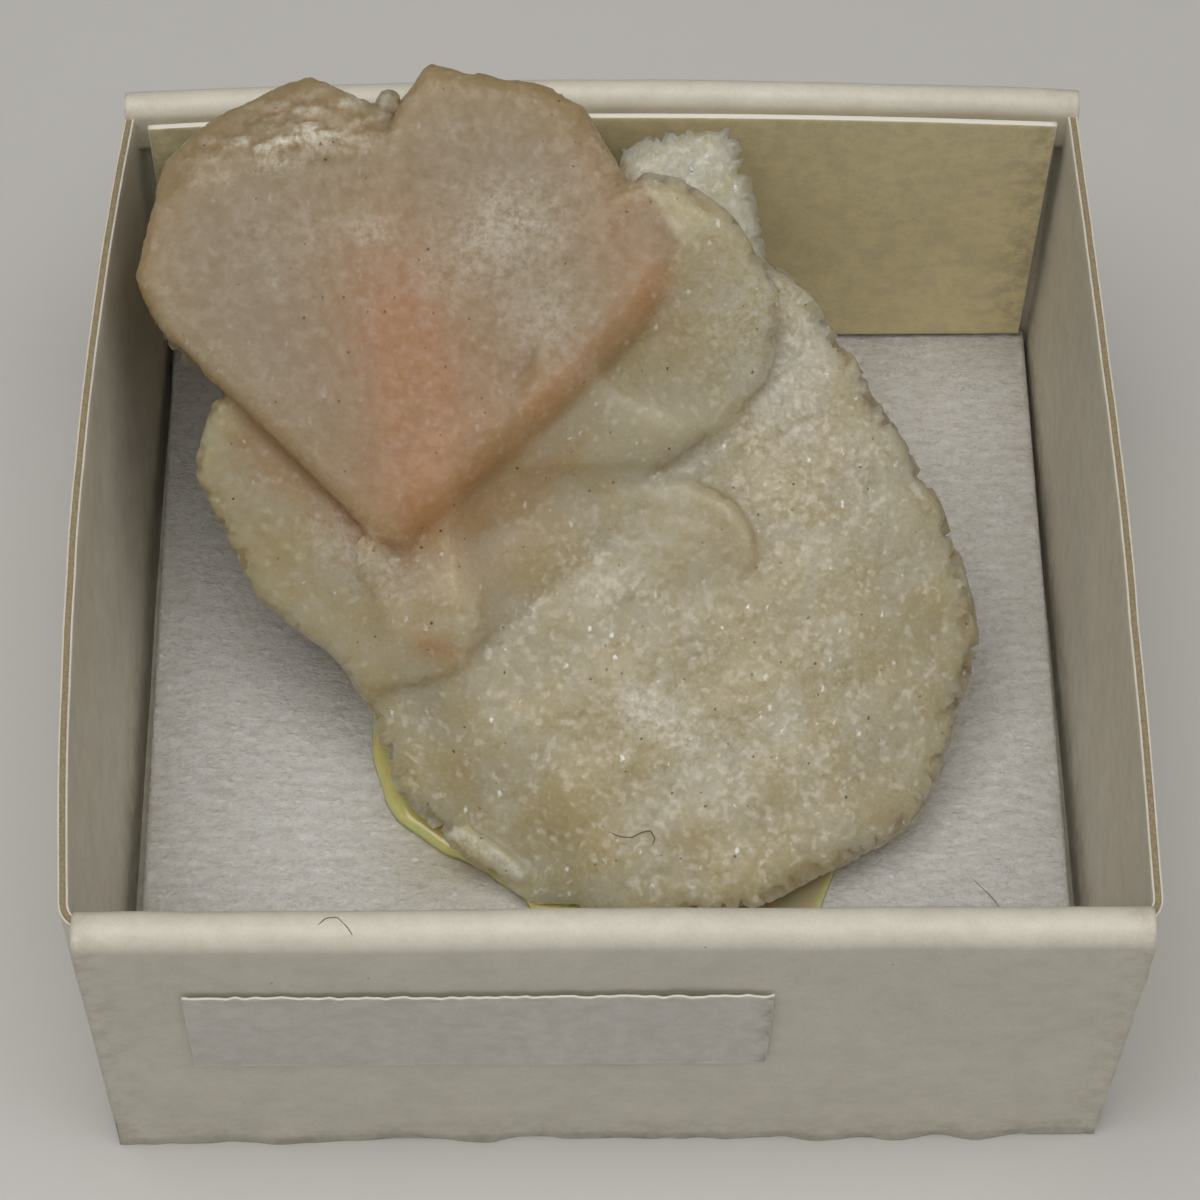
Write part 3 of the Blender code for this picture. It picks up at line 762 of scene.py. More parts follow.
def cluster_field(step):
    """The joined cluster's distance on a cubic grid over its box in the leaning frame, and the
    grid's first corner. Each crystal is only worked out near its own box."""
    low = np.array([-20.2, -14.6, -15.6])
    high = np.array([16.6, 22.2, 3.2])
    counts = np.ceil((high - low) / step).astype(int) + 1
    axes = [low[axis] + step * np.arange(counts[axis]) for axis in range(3)]

    def block(box_low, box_high):
        first = np.maximum(np.floor((box_low - low) / step).astype(int) - 1, 0)
        last = np.minimum(np.ceil((box_high - low) / step).astype(int) + 2, counts)
        where = tuple(slice(first[axis], last[axis]) for axis in range(3))
        grid = np.meshgrid(*(axes[axis][where[axis]] for axis in range(3)), indexing="ij")
        return where, np.stack(grid, -1).astype(np.float32)

    normals, distances = mass_planes()
    _, points = block(low, high)
    wave = sum(height * np.sin((points - MASS_CENTRE) @ np.array(pace) + shift) for height, pace, shift in LUMPS)
    field = soft_distance(points, normals, distances + normals @ MASS_CENTRE, 5.0) - (wave + 0.05).astype(np.float32)
    room_up = (points @ to_lean((0, 0, 1)) + LEAN_HEIGHT).astype(np.float32)
    room_back = (points @ to_lean((0, 1, 0))).astype(np.float32)
    widths = fillet_width(points[..., 0], points[..., 1]).astype(np.float32)
    for name, (corners, levels, bevels, extra, crispness) in FLATS.items():
        flat = np.array(corners, float)
        reach = 2.2
        if name == "left_lobe":
            flat = np.concatenate([flat, np.array(RIGHT_LOBE)])
        elif name == "right_lobe":
            continue
        box_low = np.array([*(flat.min(axis=0) - reach), levels[1] - 3.5])
        box_high = np.array([*(flat.max(axis=0) + reach), levels[0] + reach])
        where, near = block(box_low, box_high)
        planes = plane_set(corners, levels, bevels, extra)
        distance = soft_distance(near, *planes, crispness)
        if name == "left_lobe":
            partner = plane_set(*FLATS["right_lobe"][:4])
            distance = smooth_union(distance, soft_distance(near, *partner, crispness), 0.12)
        field[where] = smooth_union(field[where], distance, widths[where])
    field = np.maximum(field, CLUSTER_BASE - room_up)
    return np.maximum(field, room_back - CLUSTER_BACK), low


def level_surface(field, low, step):
    """The zero surface of a field as quads: one point in every grid cube that the surface
    crosses, at the mean of the crossings on the cube's twelve edges, and one quad across every
    grid edge that changes sign."""
    inside = field < 0
    corner_sum = np.zeros(tuple(np.array(field.shape) - 1), np.int8)
    for shift in np.ndindex(2, 2, 2):
        corner_sum += inside[tuple(slice(s, n - 1 + s) for s, n in zip(shift, field.shape))]
    cubes = np.argwhere((corner_sum > 0) & (corner_sum < 8))
    index = np.full(corner_sum.shape, -1, np.int64)
    index[tuple(cubes.T)] = np.arange(len(cubes))
    total, count = np.zeros((len(cubes), 3)), np.zeros(len(cubes))
    for axis in range(3):
        others = [item for item in range(3) if item != axis]
        for shift in np.ndindex(2, 2):
            start = cubes.copy()
            start[:, others[0]] += shift[0]
            start[:, others[1]] += shift[1]
            end = start.copy()
            end[:, axis] += 1
            first, second = field[tuple(start.T)], field[tuple(end.T)]
            crosses = (first < 0) != (second < 0)
            share = np.where(crosses, first / np.where(crosses, first - second, 1), 0)
            place = start.astype(float)
            place[:, axis] += share
            total += place * crosses[:, None]
            count += crosses
    points = low + step * total / count[:, None]
    quads = []
    for axis in range(3):
        one, two = (axis + 1) % 3, (axis + 2) % 3
        lead = [slice(None)] * 3
        trail = [slice(None)] * 3
        lead[axis], trail[axis] = slice(None, -1), slice(1, None)
        change = inside[tuple(lead)] != inside[tuple(trail)]
        edges = np.argwhere(change)
        edges = edges[(edges[:, one] > 0) & (edges[:, two] > 0)]
        leaving = inside[tuple(edges.T)]
        around = []
        for shift in ((0, 0), (-1, 0), (-1, -1), (0, -1)):
            cube = edges.copy()
            cube[:, one] += shift[0]
            cube[:, two] += shift[1]
            around.append(index[tuple(cube.T)])
        ring = np.stack(around, -1)
        quads.append(np.where(leaving[:, None], ring, ring[:, ::-1]))
    return points, np.concatenate(quads)


def vertex_normals(points, quads):
    """Unit normals of the points of a quad mesh, from the cross product of each quad's
    diagonals added up at its corners."""
    across = np.cross(points[quads[:, 2]] - points[quads[:, 0]], points[quads[:, 3]] - points[quads[:, 1]])
    total = np.stack([np.bincount(quads.ravel(), np.repeat(across[:, axis], 4), len(points)) for axis in range(3)], -1)
    return total / np.maximum(np.linalg.norm(total, axis=1)[:, None], 1e-12)


def evened(points, quads, rounds, share):
    """Points moved part of the way to the mean of their neighbours, then back a little further
    out, which takes the grid's steps away without shrinking the shape."""
    starts = np.concatenate([quads.ravel(), np.roll(quads, -1, axis=1).ravel()])
    ends = np.concatenate([np.roll(quads, -1, axis=1).ravel(), quads.ravel()])
    count = np.bincount(starts, minlength=len(points))[:, None]
    for _ in range(rounds):
        for move in (share, -share * 1.02):
            mean = np.stack([np.bincount(starts, points[ends, axis], len(points)) for axis in range(3)], -1) / count
            points = points + move * (mean - points)
    return points


def face_share(a, b):
    """How much a point of the face belongs to the sheaf, and how much to the smooth plates."""
    shares = []
    for names in (("left_lobe", "right_lobe"), ("right_plate", "upper_right_step", "waist_step", "left_plate", "left_plate_step", "small_plate", "edge_shard", "notch_crystal")):
        share = np.zeros(len(a))
        for name in names:
            corners = np.array(FLATS[name][0], float)
            normals, distances = side_planes(corners, corners.mean(axis=0))
            outside = (np.stack([a, b], -1) @ normals[:, :2].T - (corners @ normals[:, :2].T).max(axis=0)).max(axis=1)
            share = np.maximum(share, np.clip(1.0 - (outside - 0.25) / 0.5, 0, 1))
        shares.append(share)
    return shares


def rays(a, b, centre, seed, spacing):
    """Radiating ridges: heights picked for many bearings about a centre and joined by straight
    lines, so that each ridge runs out from it."""
    bearing = np.degrees(np.arctan2(b - centre[1], a - centre[0]))
    chance = np.random.default_rng(seed)
    knots = np.arange(-180, 181, spacing)
    knots = knots + chance.uniform(-0.3, 0.3, len(knots)) * spacing
    return np.interp(bearing, knots, chance.uniform(-1, 1, len(knots)))


def cluster_zones(points, outward, sheaf):
    """Where the cluster is blushed, frosted, smoky or stained."""
    a, b, _ = points.T
    blush = 0.6 * spot(a, b, (-7.8, 8.4), (3.0, 1.3), 96) + 0.5 * spot(a, b, (-8.8, 11.4), (4.2, 2.8), 100)
    blush += 0.35 * spot(a, b, (-7.6, 8.0), (6.0, 3.6), 90) + 0.5 * spot(a, b, (-8.2, 4.2), (3.0, 1.9), 80) + 0.4 * spot(a, b, (0.8, 13.6), (4.2, 1.7), 115)
    blush += 0.3 * near_line(a, b, ((-2.6, 7.2), (2.2, 12.4)), 0.7) + 0.25 * spot(a, b, (-4.5, 7.0), (4.0, 3.0), 40)
    blush += 0.06 * sheaf + 0.6 * spot(a, b, (-7.0, -2.6), (1.0, 0.5), -20) + 0.25 * spot(a, b, (-5.0, 1.6), (5, 3), 30)
    blush += 0.2 * near_line(a, b, ((-5.6, 2.4), (-1.6, 5.2)), 0.7) + 0.45 * near_line(a, b, ((-14.5, 5.6), (-10.4, 1.8)), 0.9)
    frost = 0.4 * spot(a, b, (-3.6, 14.6), (2.2, 1.7)) + 0.4 * spot(a, b, (-9.6, 14.4), (1.1, 0.6), -15)
    frost += 0.35 * spot(a, b, (-2.6, 10.8), (1.8, 1.6)) + 0.2 * spot(a, b, (-12.2, 18.4), (3.6, 1.2), 18)
    frost += 0.95 * spot(a, b, (1.4, -4.9), (1.3, 0.9), -35) + 0.45 * spot(a, b, (3.2, -6.6), (1.6, 0.8), -30)
    frost += 0.3 * spot(a, b, (8.5, 4.5), (4.0, 5.5)) + 0.25 * spot(a, b, (7.5, -6.0), (5, 3.0))
    frost += 0.45 * spot(a, b, (6.4, 11.6), (3, 4)) + 0.55 * spot(a, b, (2.8, 17.4), (3, 1.6))
    frost += 0.35 * spot(a, b, (-0.6, 1.6), (1.6, 0.8), 15) + 0.5 * spot(a, b, (-10.2, 1.2), (3.0, 1.3), -35)
    frost += sheaf * 0.07 * np.clip(rays(a, b, WAIST, 17, 1.6) + 0.4 * rays(a, b, WAIST, 27, 0.6), 0, 1)
    frost += 0.12 * spot(a, b, (-13.0, 13.6), (2.4, 1.6), 20) + 0.25 * spot(a, b, (-5.4, 13.4), (2.6, 1.4), 30)
    smoke = 0.95 * spot(a, b, (-14.2, 12.8), (3.6, 4.8), 20) + 0.9 * spot(a, b, (-3.4, 17.0), (2.6, 0.9), -8)
    frost += 0.9 * near_line(a, b, ((-6.2, -10.3), (-3.6, -11.9)), 0.3)
    smoke += 0.9 * spot(a, b, (-8.9, 19.5), (0.6, 0.6)) + 0.55 * spot(a, b, (-11.8, 8.0), (2.2, 3.6), 40) + 0.45 * spot(a, b, (-6.4, 15.4), (1.6, 3.4), 5)
    smoke += 0.45 * spot(a, b, (-3.4, 12.6), (2.6, 3.2)) + 0.3 * spot(a, b, (9.0, 8.0), (3, 4)) + 0.25 * spot(a, b, (4.5, 2.0), (3, 3))
    stain = 0.3 * sheaf * near_line(a, b, (LEFT_LOBE[6], LEFT_LOBE[5]), 0.6) + 0.3 * sheaf * near_line(a, b, (RIGHT_LOBE[4], RIGHT_LOBE[6]), 0.7)
    stain += 0.8 * spot(a, b, (-18.6, 12.2), (0.8, 1.5)) + 0.9 * spot(a, b, (-9.4, 2.5), (1.3, 0.35), -40)
    stain += 0.3 * spot(a, b, (-16.0, 16.6), (1.8, 0.6), 50) + 0.4 * near_line(a, b, ((-16.0, 8.6), (-13.0, 5.9)), 0.22)
    stain += 0.45 * spot(a, b, (-14.6, 3.6), (2.0, 3.6), 15) + 0.1 * spot(a, b, (-5.2, -8.0), (5, 4.5)) + 0.1 * spot(a, b, (-0.5, -2.0), (3.5, 1.6))
    rim = [near_line(a, b, (RIGHT_PLATE[place], RIGHT_PLATE[place + 1]), 0.16) for place in range(2, 7)]
    rim += [near_line(a, b, (SMALL_PLATE[place], SMALL_PLATE[place + 1]), 0.12) for place in range(4, 7)]
    rim.append(near_line(a, b, (SMALL_PLATE[7], SMALL_PLATE[0]), 0.12))
    stain += 0.5 * np.max(rim, axis=0) + 0.6 * spot(a, b, (15.0, -2.0), (0.5, 1.2))
    # the sides, where the surface turns away from the broad face, are made browner
    side = 1 - np.clip((outward[:, 2] - 0.1) / 0.6, 0, 1)
    stain += 0.25 * side
    return np.stack([blush, frost, smoke, stain], -1)


def build_cluster(settings, colours):
    """The whole cluster as one stone: every crystal is a soft solid of flat faces, their
    distances are joined with fillets, the zero surface is taken, and the surface is pushed out
    along its normals by a crust of small crystals, faint ridges that radiate from the sheaf's
    waist, and flakes on the broken end."""
    step = settings.mesh_step
    field, low = cluster_field(step)
    points, quads = level_surface(field, low, step)
    points = evened(points, quads, 2, 0.5)
    outward = vertex_normals(points, quads)
    a, b, _ = points.T
    sheaf, plates = face_share(a, b)
    front = np.clip(outward[:, 2] / 0.5, 0, 1)
    above = outward[:, 2] > -0.2
    sheaf, plates = sheaf * above, plates * above
    coarse = 1 - np.clip(np.maximum(sheaf * (0.85 + 0.15 * front), plates * (0.3 + 0.25 * front)), 0, 1)
    room = from_lean(points)
    free = np.clip((room[:, 2] - CLUSTER_BASE - 0.1) / 0.6, 0, 1) * np.clip((CLUSTER_BACK - room[:, 1]) / 0.6, 0, 1)
    grain = settings.grain
    crust = 0.42 * np.maximum(grain_height(points, outward, grain, (grain * 0.45, grain * 0.8), 7, 0.42), 0.1)
    blocks = np.maximum(grain_height(points, outward, grain * 2.2, (grain * 0.7, grain * 1.25), 9, 0.75), 0.3)
    side = 1 - np.clip(abs(outward[:, 2]) / 0.75, 0, 1)
    relief = coarse * free * (crust * (0.5 + 1.2 * side) + blocks * (0.08 + 0.85 * side) - 0.08 - 0.32 * side)
    radius = np.hypot(a - WAIST[0], b - WAIST[1])
    ridge = 0.012 * rays(a, b, WAIST, 11, 2.3) + 0.008 * rays(a, b, WAIST, 21, 0.7)
    relief += (1 - coarse) * (ridge * np.clip(radius / 9, 0, 1) + 0.04 * rough(points, 5, 3.0) + 0.015 * rough(points, 6, 0.8))
    flat = np.stack([a * 0.4 + b * 0.1, b - 0.18 * a, np.zeros(len(a))], -1)
    flakes = np.clip(rough(flat, 31, 0.42) * 2.5, -0.2, 1) + 0.5 * np.clip(rough(flat, 41, 0.2) * 2, 0, 1)
    end = spot(a, b, (-12.4, 18.4), (3.6, 1.3), 14) * front
    relief += end * flakes * 0.15
    edge = sheaf * (1 - front)
    relief += edge * (0.07 * rough(points, 14, 0.7) + 0.04 * rough(points, 15, 0.3))
    points = points + outward * relief[:, None]
    zones = cluster_zones(points, outward, sheaf)
    zones[:, 1] += 0.8 * end * np.clip(flakes, 0, 1)
    sugar = np.stack([coarse, sheaf, blocks, np.zeros(len(a))], -1)
    piece = mesh_object("stilbite_stone", from_lean(points), quads, None, zones)
    layer = piece.data.attributes.new("sugar", "FLOAT_COLOR", "POINT")
    layer.data.foreach_set("color", np.clip(sugar, 0, 1).astype(np.float32).ravel())
    return fitted(piece, stone_material("cloudy stilbite", colours), ["stilbite_cluster"])


# ---- glue, foam and card ----

GLUE_EDGE = (
    (-180, 10.65), (-173, 10.4), (-166, 9.8), (-158, 8.9), (-150, 8.1), (-140, 7.6), (-125, 7.4), (-112, 8.0), (-100, 7.8),
    (-80, 7.7), (-60, 8.6), (-42, 10.3), (-25, 9.6), (0, 9.2), (40, 8.6), (90, 7.8), (130, 8.2), (146, 9.2), (152, 10.8), (157, 11.5), (163, 11.2), (172, 10.85), (180, 10.65),
)


def build_glue(colours):
    """The pool of glue: a film whose rim rises as a low bead, so its height over the foam is about zero at the edge,
    full a short way in and higher still further in; along the front it stays lower."""
    half = 60
    reach, turn, quads, fan = shield_grid(half, 5)
    degrees = (np.degrees(turn) + 180) % 360 - 180
    table = np.array(GLUE_EDGE)
    edge = np.interp(degrees, table[:, 0], table[:, 1])
    edge = edge + 0.10 * np.sin(turn * 9 + 1) + 0.06 * np.sin(turn * 23)
    out = np.interp(reach, (0, 0.9, 1, 2), (0, 0.975, 1, 0))
    inside = (1 - out) * edge
    bead = np.sqrt(np.clip(inside / 0.45, 0, 1) * (2 - np.clip(inside / 0.45, 0, 1)))
    front = np.exp(-(((degrees + 45) / 32) ** 2))
    height = FOAM_HIGH[2] - 0.02 + 0.05 + bead * (0.42 - 0.27 * front) + 0.25 * np.clip(inside / 2.5, 0, 1) * (1 - front)
    height = np.where(reach < 1, height, FOAM_HIGH[2] - 0.05)
    points = np.stack([0.9 + edge * out * np.cos(turn), -4.0 + edge * out * np.sin(turn), height], -1)
    top = reach < 1
    points[top, 2] += 0.05 * rough(points[top], 3, 1.2)
    thick = np.clip((inside - 0.35) / 0.6, 0, 1) * 0.8 * (1 - front)
    # the second zone is the pool's darker front: partly the glue's skin, partly painted shadow under the stone's edge
    zones = np.stack([thick, front * np.clip(inside / 0.3, 0, 1), np.zeros(len(points)), np.zeros(len(points))], -1)
    piece = mesh_object("glue_bead", points, quads, fan, zones)
    return fitted(piece, glue_material(tuple(colours.glue)), ["glue"])


def slab(size, steps, rounding, sides=3):
    """A closed slab with rounded long edges (half width, half depth, height): a grid for its top
    and one for its bottom, joined by rings round the side. Gives points round the origin with
    the top at z = 0, quads, and a flag that is 1 on the top."""
    wide, deep, height = size
    columns, rows = steps
    u, v = np.meshgrid(np.linspace(-1, 1, columns), np.linspace(-1, 1, rows))
    index = np.arange(columns * rows).reshape(rows, columns)
    rim = np.concatenate([index[0, :-1], index[:-1, -1], index[-1, :0:-1], index[:0:-1, 0]])
    top = np.stack([u.ravel() * (wide - rounding), v.ravel() * (deep - rounding), np.zeros(u.size)], -1)
    away = np.stack([np.where(abs(u.ravel()) == 1, np.sign(u.ravel()), 0), np.where(abs(v.ravel()) == 1, np.sign(v.ravel()), 0)], -1)[rim]
    points, flags = [top], [np.ones(len(top))]
    quads = [np.stack([index[:-1, :-1], index[:-1, 1:], index[1:, 1:], index[1:, :-1]], -1).reshape(-1, 4)]
    before, count = rim, len(top)
    turns = np.linspace(0, np.pi / 2, sides + 1)[1:]
    levels = [(rounding * math.sin(t), -rounding * (1 - math.cos(t))) for t in turns]
    levels += [(rounding, -height + rounding)] + [(rounding * math.cos(t), -height + rounding * (1 - math.sin(t))) for t in turns[:-1]]
    for out, level in levels:
        ring = top[rim] + np.concatenate([away * out, np.full((len(rim), 1), level)], axis=1)
        after = count + np.arange(len(rim))
        quads.append(np.stack([before, after, np.roll(after, -1), np.roll(before, -1)], -1))
        points.append(ring)
        flags.append(np.zeros(len(ring)))
        before, count = after, count + len(ring)
    bottom = top - (0, 0, height)
    lower = count + index
    quads.append(np.stack([lower[:-1, :-1], lower[1:, :-1], lower[1:, 1:], lower[:-1, 1:]], -1).reshape(-1, 4))
    low_rim = count + rim
    quads.append(np.stack([before, low_rim, np.roll(low_rim, -1), np.roll(before, -1)], -1))
    points.append(bottom)
    flags.append(np.full(len(bottom), -1.0))
    return np.concatenate(points), np.concatenate(quads), np.concatenate(flags)


def build_foam(colours):
    """The foam pad: a rounded slab whose skin is streaked along x and pitted in fine cells."""
    steps = ((230, 196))
    middle = (FOAM_LOW + FOAM_HIGH) / 2
    size = (FOAM_HIGH - FOAM_LOW) / 2
    points, quads, flag = slab((size[0], size[1], 2 * size[2]), steps, 0.35)
    x, y = points[:, 0], points[:, 1]
    streak = rough(np.stack([x * 0.22 + 0.05 * y, y], -1), 1, 0.55) + 0.6 * rough(np.stack([x * 0.3, y], -1), 2, 0.28)
    grain = rough(np.stack([x * 0.6, y], -1), 3, 0.5)
    lower_left = 1 / (1 + np.exp((x * 0.5 + y + 4) / 2.5))
    skin = 0.035 * (streak * (1 - 0.6 * lower_left) + 1.2 * grain * lower_left) + 0.05 * rough(np.stack([x, y], -1), 4, 6.0)
    points[:, 2] += np.where(flag > 0, skin - 0.09, 0)
    points = points + np.array([middle[0], middle[1], FOAM_HIGH[2]])
    x, y, _ = points.T
    # darker and browner towards the back wall and towards the side walls
    grime = 0.5 * np.clip((y - 15) / 4, 0, 1) + 0.35 * np.clip((abs(x) - 17.6) / 1.6, 0, 1)
    # two soft patches by the stone's lower front edge: partly damp stain, partly painted shadow under its overhang
    damp_and_shadow = 0.6 * np.exp(-((np.hypot(x + 6.5, y + 7.6) / 3.0) ** 2)) + 0.5 * np.exp(-((np.hypot(x - 5.0, y + 12.4) / 3.5) ** 2))
    zones = np.stack([grime, lower_left, np.clip(damp_and_shadow, 0, 0.55), np.zeros(len(x))], -1)
    piece = mesh_object("foam_skin", points, quads, None, zones)
    fitted(piece, foam_material(tuple(colours.foam)), ["foam_pad"])
    return piece


def strip(section, stations, closed_ends=True):
    """A closed section carried along stations: stations are (points per ring, rings), and section is not used. Gives
    quads and the fans that close both ends."""
    rings, count = stations
    index = np.arange(rings * count).reshape(rings, count)
    after = np.roll(index, -1, axis=1)
    quads = np.stack([index[:-1], after[:-1], after[1:], index[1:]], -1).reshape(-1, 4)
    first, last = rings * count, rings * count + 1
    fans = np.concatenate([
        np.stack([after[0], index[0], np.full(count, first)], -1),
        np.stack([index[-1], after[-1], np.full(count, last)], -1),
    ])
    return quads, fans


def with_ends(rings):
    """Points of all rings, then the middle of the first and of the last."""
    return np.concatenate([rings.reshape(-1, 3), rings[:1].mean(axis=1), rings[-1:].mean(axis=1)])


ROLL = 1.7
BACK_ROLL = 1.35
BACK_ARCH = 0.9
ROLL_HEIGHT = 2.8
ROLLED_WALL = 0.8
SIDE_WALL = 0.4
FRONT_FLARE = 0.8
FRONT_SPREAD = 0.25
SIDE_DROP = 0.6
CORNER = 0.9


def rolled_wall(side, seed):
    """The front (-1) or back (1) wall: the section of a card folded over into a round lip,
    carried across the tray with faint waves, a dented foot and worn ends."""
    outer = 20.1
    foot = outer - (FRONT_FLARE if side < 0 else 0.0)
    top = TRAY_HIGH[2]
    roll = ROLL if side < 0 else BACK_ROLL
    radius = roll / 2
    turns = np.linspace(0, np.pi, 15)
    lip_y = outer - radius + radius * np.cos(turns)
    lip_z = top - radius + radius * np.sin(turns)
    heights = np.linspace(0.05, top - radius, 26)[:-1]
    outside_y = foot + (outer - foot) * heights / (top - radius)
    inner_top = top - ROLL_HEIGHT
    tuck_y = np.array([outer - roll, outer - roll + 0.06, outer - roll + 0.25, outer - ROLLED_WALL + 0.02])
    tuck_z = np.array([inner_top + 0.4, inner_top + 0.12, inner_top, inner_top + 0.04])
    inner = np.linspace(inner_top - 0.15, 0.4, 12)
    inside_y = foot - ROLLED_WALL + (outer - foot) * inner / (top - radius)
    profile_y = np.concatenate([outside_y, lip_y, tuck_y, inside_y])
    profile_z = np.concatenate([heights, lip_z, tuck_z, inner])
    reach = TRAY_HIGH[0] - 0.35 - SIDE_WALL
    reach = 20.2 - SIDE_WALL + 0.3
    across = np.linspace(-1, 1, 181)
    across = np.sign(across) * abs(across) ** 0.92 * reach
    x, y = np.meshgrid(across, profile_y, indexing="ij")
    _, z = np.meshgrid(across, profile_z, indexing="ij")
    flat = np.stack([x.ravel(), z.ravel()], -1)
    wave = (0.08 * rough(flat * (1, 0.4), seed, 9) + 0.03 * rough(flat, seed + 1, 2.5)).reshape(x.shape)
    low = np.clip(1 - z / 4, 0, 1)
    crumple = low * (0.14 * rough(flat, seed + 2, 1.7) + 0.05 * rough(flat, seed + 3, 0.6)).reshape(x.shape)
    y = y - 0.1 + wave + crumple - 0.05 * low
    arch = BACK_ARCH * (1 - (x / reach) ** 2) if side > 0 else 0.0
    z = z + (0.04 * rough(flat * (1, 0.0), seed + 4, 6).reshape(x.shape) - 0.1 + arch) * (z / top) ** 2
    ends = np.clip((abs(x) - reach + 1.2) / 1.2, 0, 1)
    x = x + np.sign(x) * ends * (0.06 * rough(flat, seed + 5, 1.1) - 0.12).reshape(x.shape)
    rings = np.stack([x, side * y, z], -1)
    if side < 0:
        rings = rings[:, ::-1]
    quads, fans = strip(None, rings.shape[:2])
    points = with_ends(rings)
    core = np.zeros(len(points))
    core[-2:] = 0.9
    on_fold = np.clip(1 - abs(points[:, 2] - inner_top - 0.05) / 0.12, 0, 1) * (abs(points[:, 1]) < 19.4)
    core = np.maximum(core, 0.0 * on_fold)
    # darker towards the foot and towards both ends
    grime = 0.15 + 0.5 * np.clip(1 - points[:, 2] / 2.5, 0, 1) + 0.3 * np.clip((abs(points[:, 0]) - 18.5) / 1.4, 0, 1)
    wear = 0.5 * np.clip(1 - points[:, 2] / 0.8, 0, 1)
    return points, quads, fans, np.stack([core, grime, wear, np.zeros(len(core))], -1)


def side_path():
    """The side wall's middle line in plan: front tab, corner, long run, corner, back tab."""
    line = 20.2 - SIDE_WALL / 2
    ends = (19.3 - ROLLED_WALL / 2, 20.1 - ROLLED_WALL / 2)
    turns = np.linspace(0, np.pi / 2, 9)
    front = np.stack([line - CORNER + CORNER * np.sin(turns), -(ends[0] - CORNER + CORNER * np.cos(turns))], -1)
    back = np.stack([line - CORNER + CORNER * np.cos(turns), ends[1] - CORNER + CORNER * np.sin(turns)], -1)
    run = np.stack([np.full(118, line), np.linspace(front[-1, 1], back[0, 1], 120)[1:-1]], -1)
    tabs = [(line - 3.0, -ends[0]), (line - 2.0, -ends[0])], [(line - 2.0, ends[1]), (line - 3.0, ends[1])]
    return np.concatenate([tabs[0], front, run, back, tabs[1]])


def side_wall(side, bow, seed):
    """A thin side wall: a section with outer coat, cut greyboard edge and inner coat, carried
    along the plan path. It bows outwards by a parabola that grows with height."""
    path = side_path()
    along = np.gradient(path, axis=0)
    along /= np.linalg.norm(along, axis=1)[:, None]
    out = np.stack([along[:, 1], -along[:, 0]], -1)
    top = TRAY_HIGH[2] - SIDE_DROP
    levels = np.linspace(0.25, top - 0.05, 26)
    thick = SIDE_WALL / 2
    across = np.concatenate([np.full(26, thick), [thick - 0.01, thick - 0.075, thick - 0.085, 0.0, -thick + 0.085, -thick + 0.075, -thick + 0.01], np.full(26, -thick)])
    height = np.concatenate([levels, [top - 0.01, top, top - 0.02, top - 0.03, top - 0.02, top, top - 0.01], levels[::-1]])
    core = np.concatenate([np.zeros(26), [0, 0, 1, 1, 1, 0, 0], np.zeros(26)])
    station = np.arange(len(path))
    s, h = np.meshgrid(path[:, 1], height, indexing="ij")
    flat = np.stack([s.ravel(), h.ravel()], -1)
    bulge = bow * np.maximum(0.0, 1 - (s / 20.1) ** 2) * h / top
    spread = -FRONT_SPREAD * s / 20.1
    wave = (0.05 * rough(flat, seed, 8) + 0.02 * rough(flat, seed + 1, 2)).reshape(s.shape) - 0.05
    x = path[:, 0][:, None] + out[:, 0][:, None] * across + bulge + spread + wave
    y = path[:, 1][:, None] + out[:, 1][:, None] * across
    ragged = (0.035 * rough(flat, seed + 2, 0.35) + 0.05 * rough(flat, seed + 3, 3.0)).reshape(s.shape)
    near_top = np.clip((h - top + 0.4) / 0.4, 0, 1)
    z = h + near_top * (ragged - 0.06)
    rings = np.stack([side * x, y, z], -1)
    if side > 0:
        rings = rings[:, ::-1]
        core = core[::-1]
    quads, fans = strip(None, rings.shape[:2])
    points = with_ends(rings)
    cores = np.append(np.tile(core, len(path)), [0.6, 0.6])
    # darker on the low part of the inner face, most below 3.5 mm and fading out by 6.5 mm
    grime = 0.2 + 0.35 * np.clip(1 - (points[:, 2] - 3.5) / 3, 0, 1) * (abs(points[:, 0]) < 20.2)
    wear = np.clip(1 - points[:, 2] / 0.8, 0, 1) + 0.6 * np.clip((points[:, 2] - top + 0.5) / 0.5, 0, 1)
    return points, quads, fans, np.stack([cores, grime, wear * 0.6, np.zeros(len(cores))], -1)


def build_tray(sizes, colours):
    """The folded tray: floor, two rolled walls and two thin bowed walls."""
    material = card_material("cream coated board", tuple(colours.card), colours)
    pieces = []
    parts = {
        "front_wall": rolled_wall(-1, 101),
        "back_wall": rolled_wall(1, 111),
        "left_wall": side_wall(-1, sizes.left_bow / MM, 121),
        "right_wall": side_wall(1, sizes.right_bow / MM, 131),
    }
    points, quads, flag = slab((19.9, 19.4, 0.8), (60, 60), 0.15)
    points[:, 1] += 0.38
    points[:, 2] += 0.8 + np.where(flag == 0, 0, 0)
    zones = np.stack([np.zeros(len(points)), 0.4 + np.zeros(len(points)), 0.2 * (flag == 0), np.zeros(len(points))], -1)
    parts["floor"] = (points, quads, np.empty((0, 3), int), zones)
    for name, (points, quads, fans, zones) in parts.items():
        points[:, :2] = np.clip(points[:, :2], cad_low()[:2], cad_high()[:2])
        piece = mesh_object("tray_" + name, points, quads, fans, zones)
        pieces.append(fitted(piece, material, ["card_tray"]))
    return pieces


def cad_low():
    return np.array(cad_box[0]) / MM


def cad_high():
    return np.array(cad_box[1]) / MM


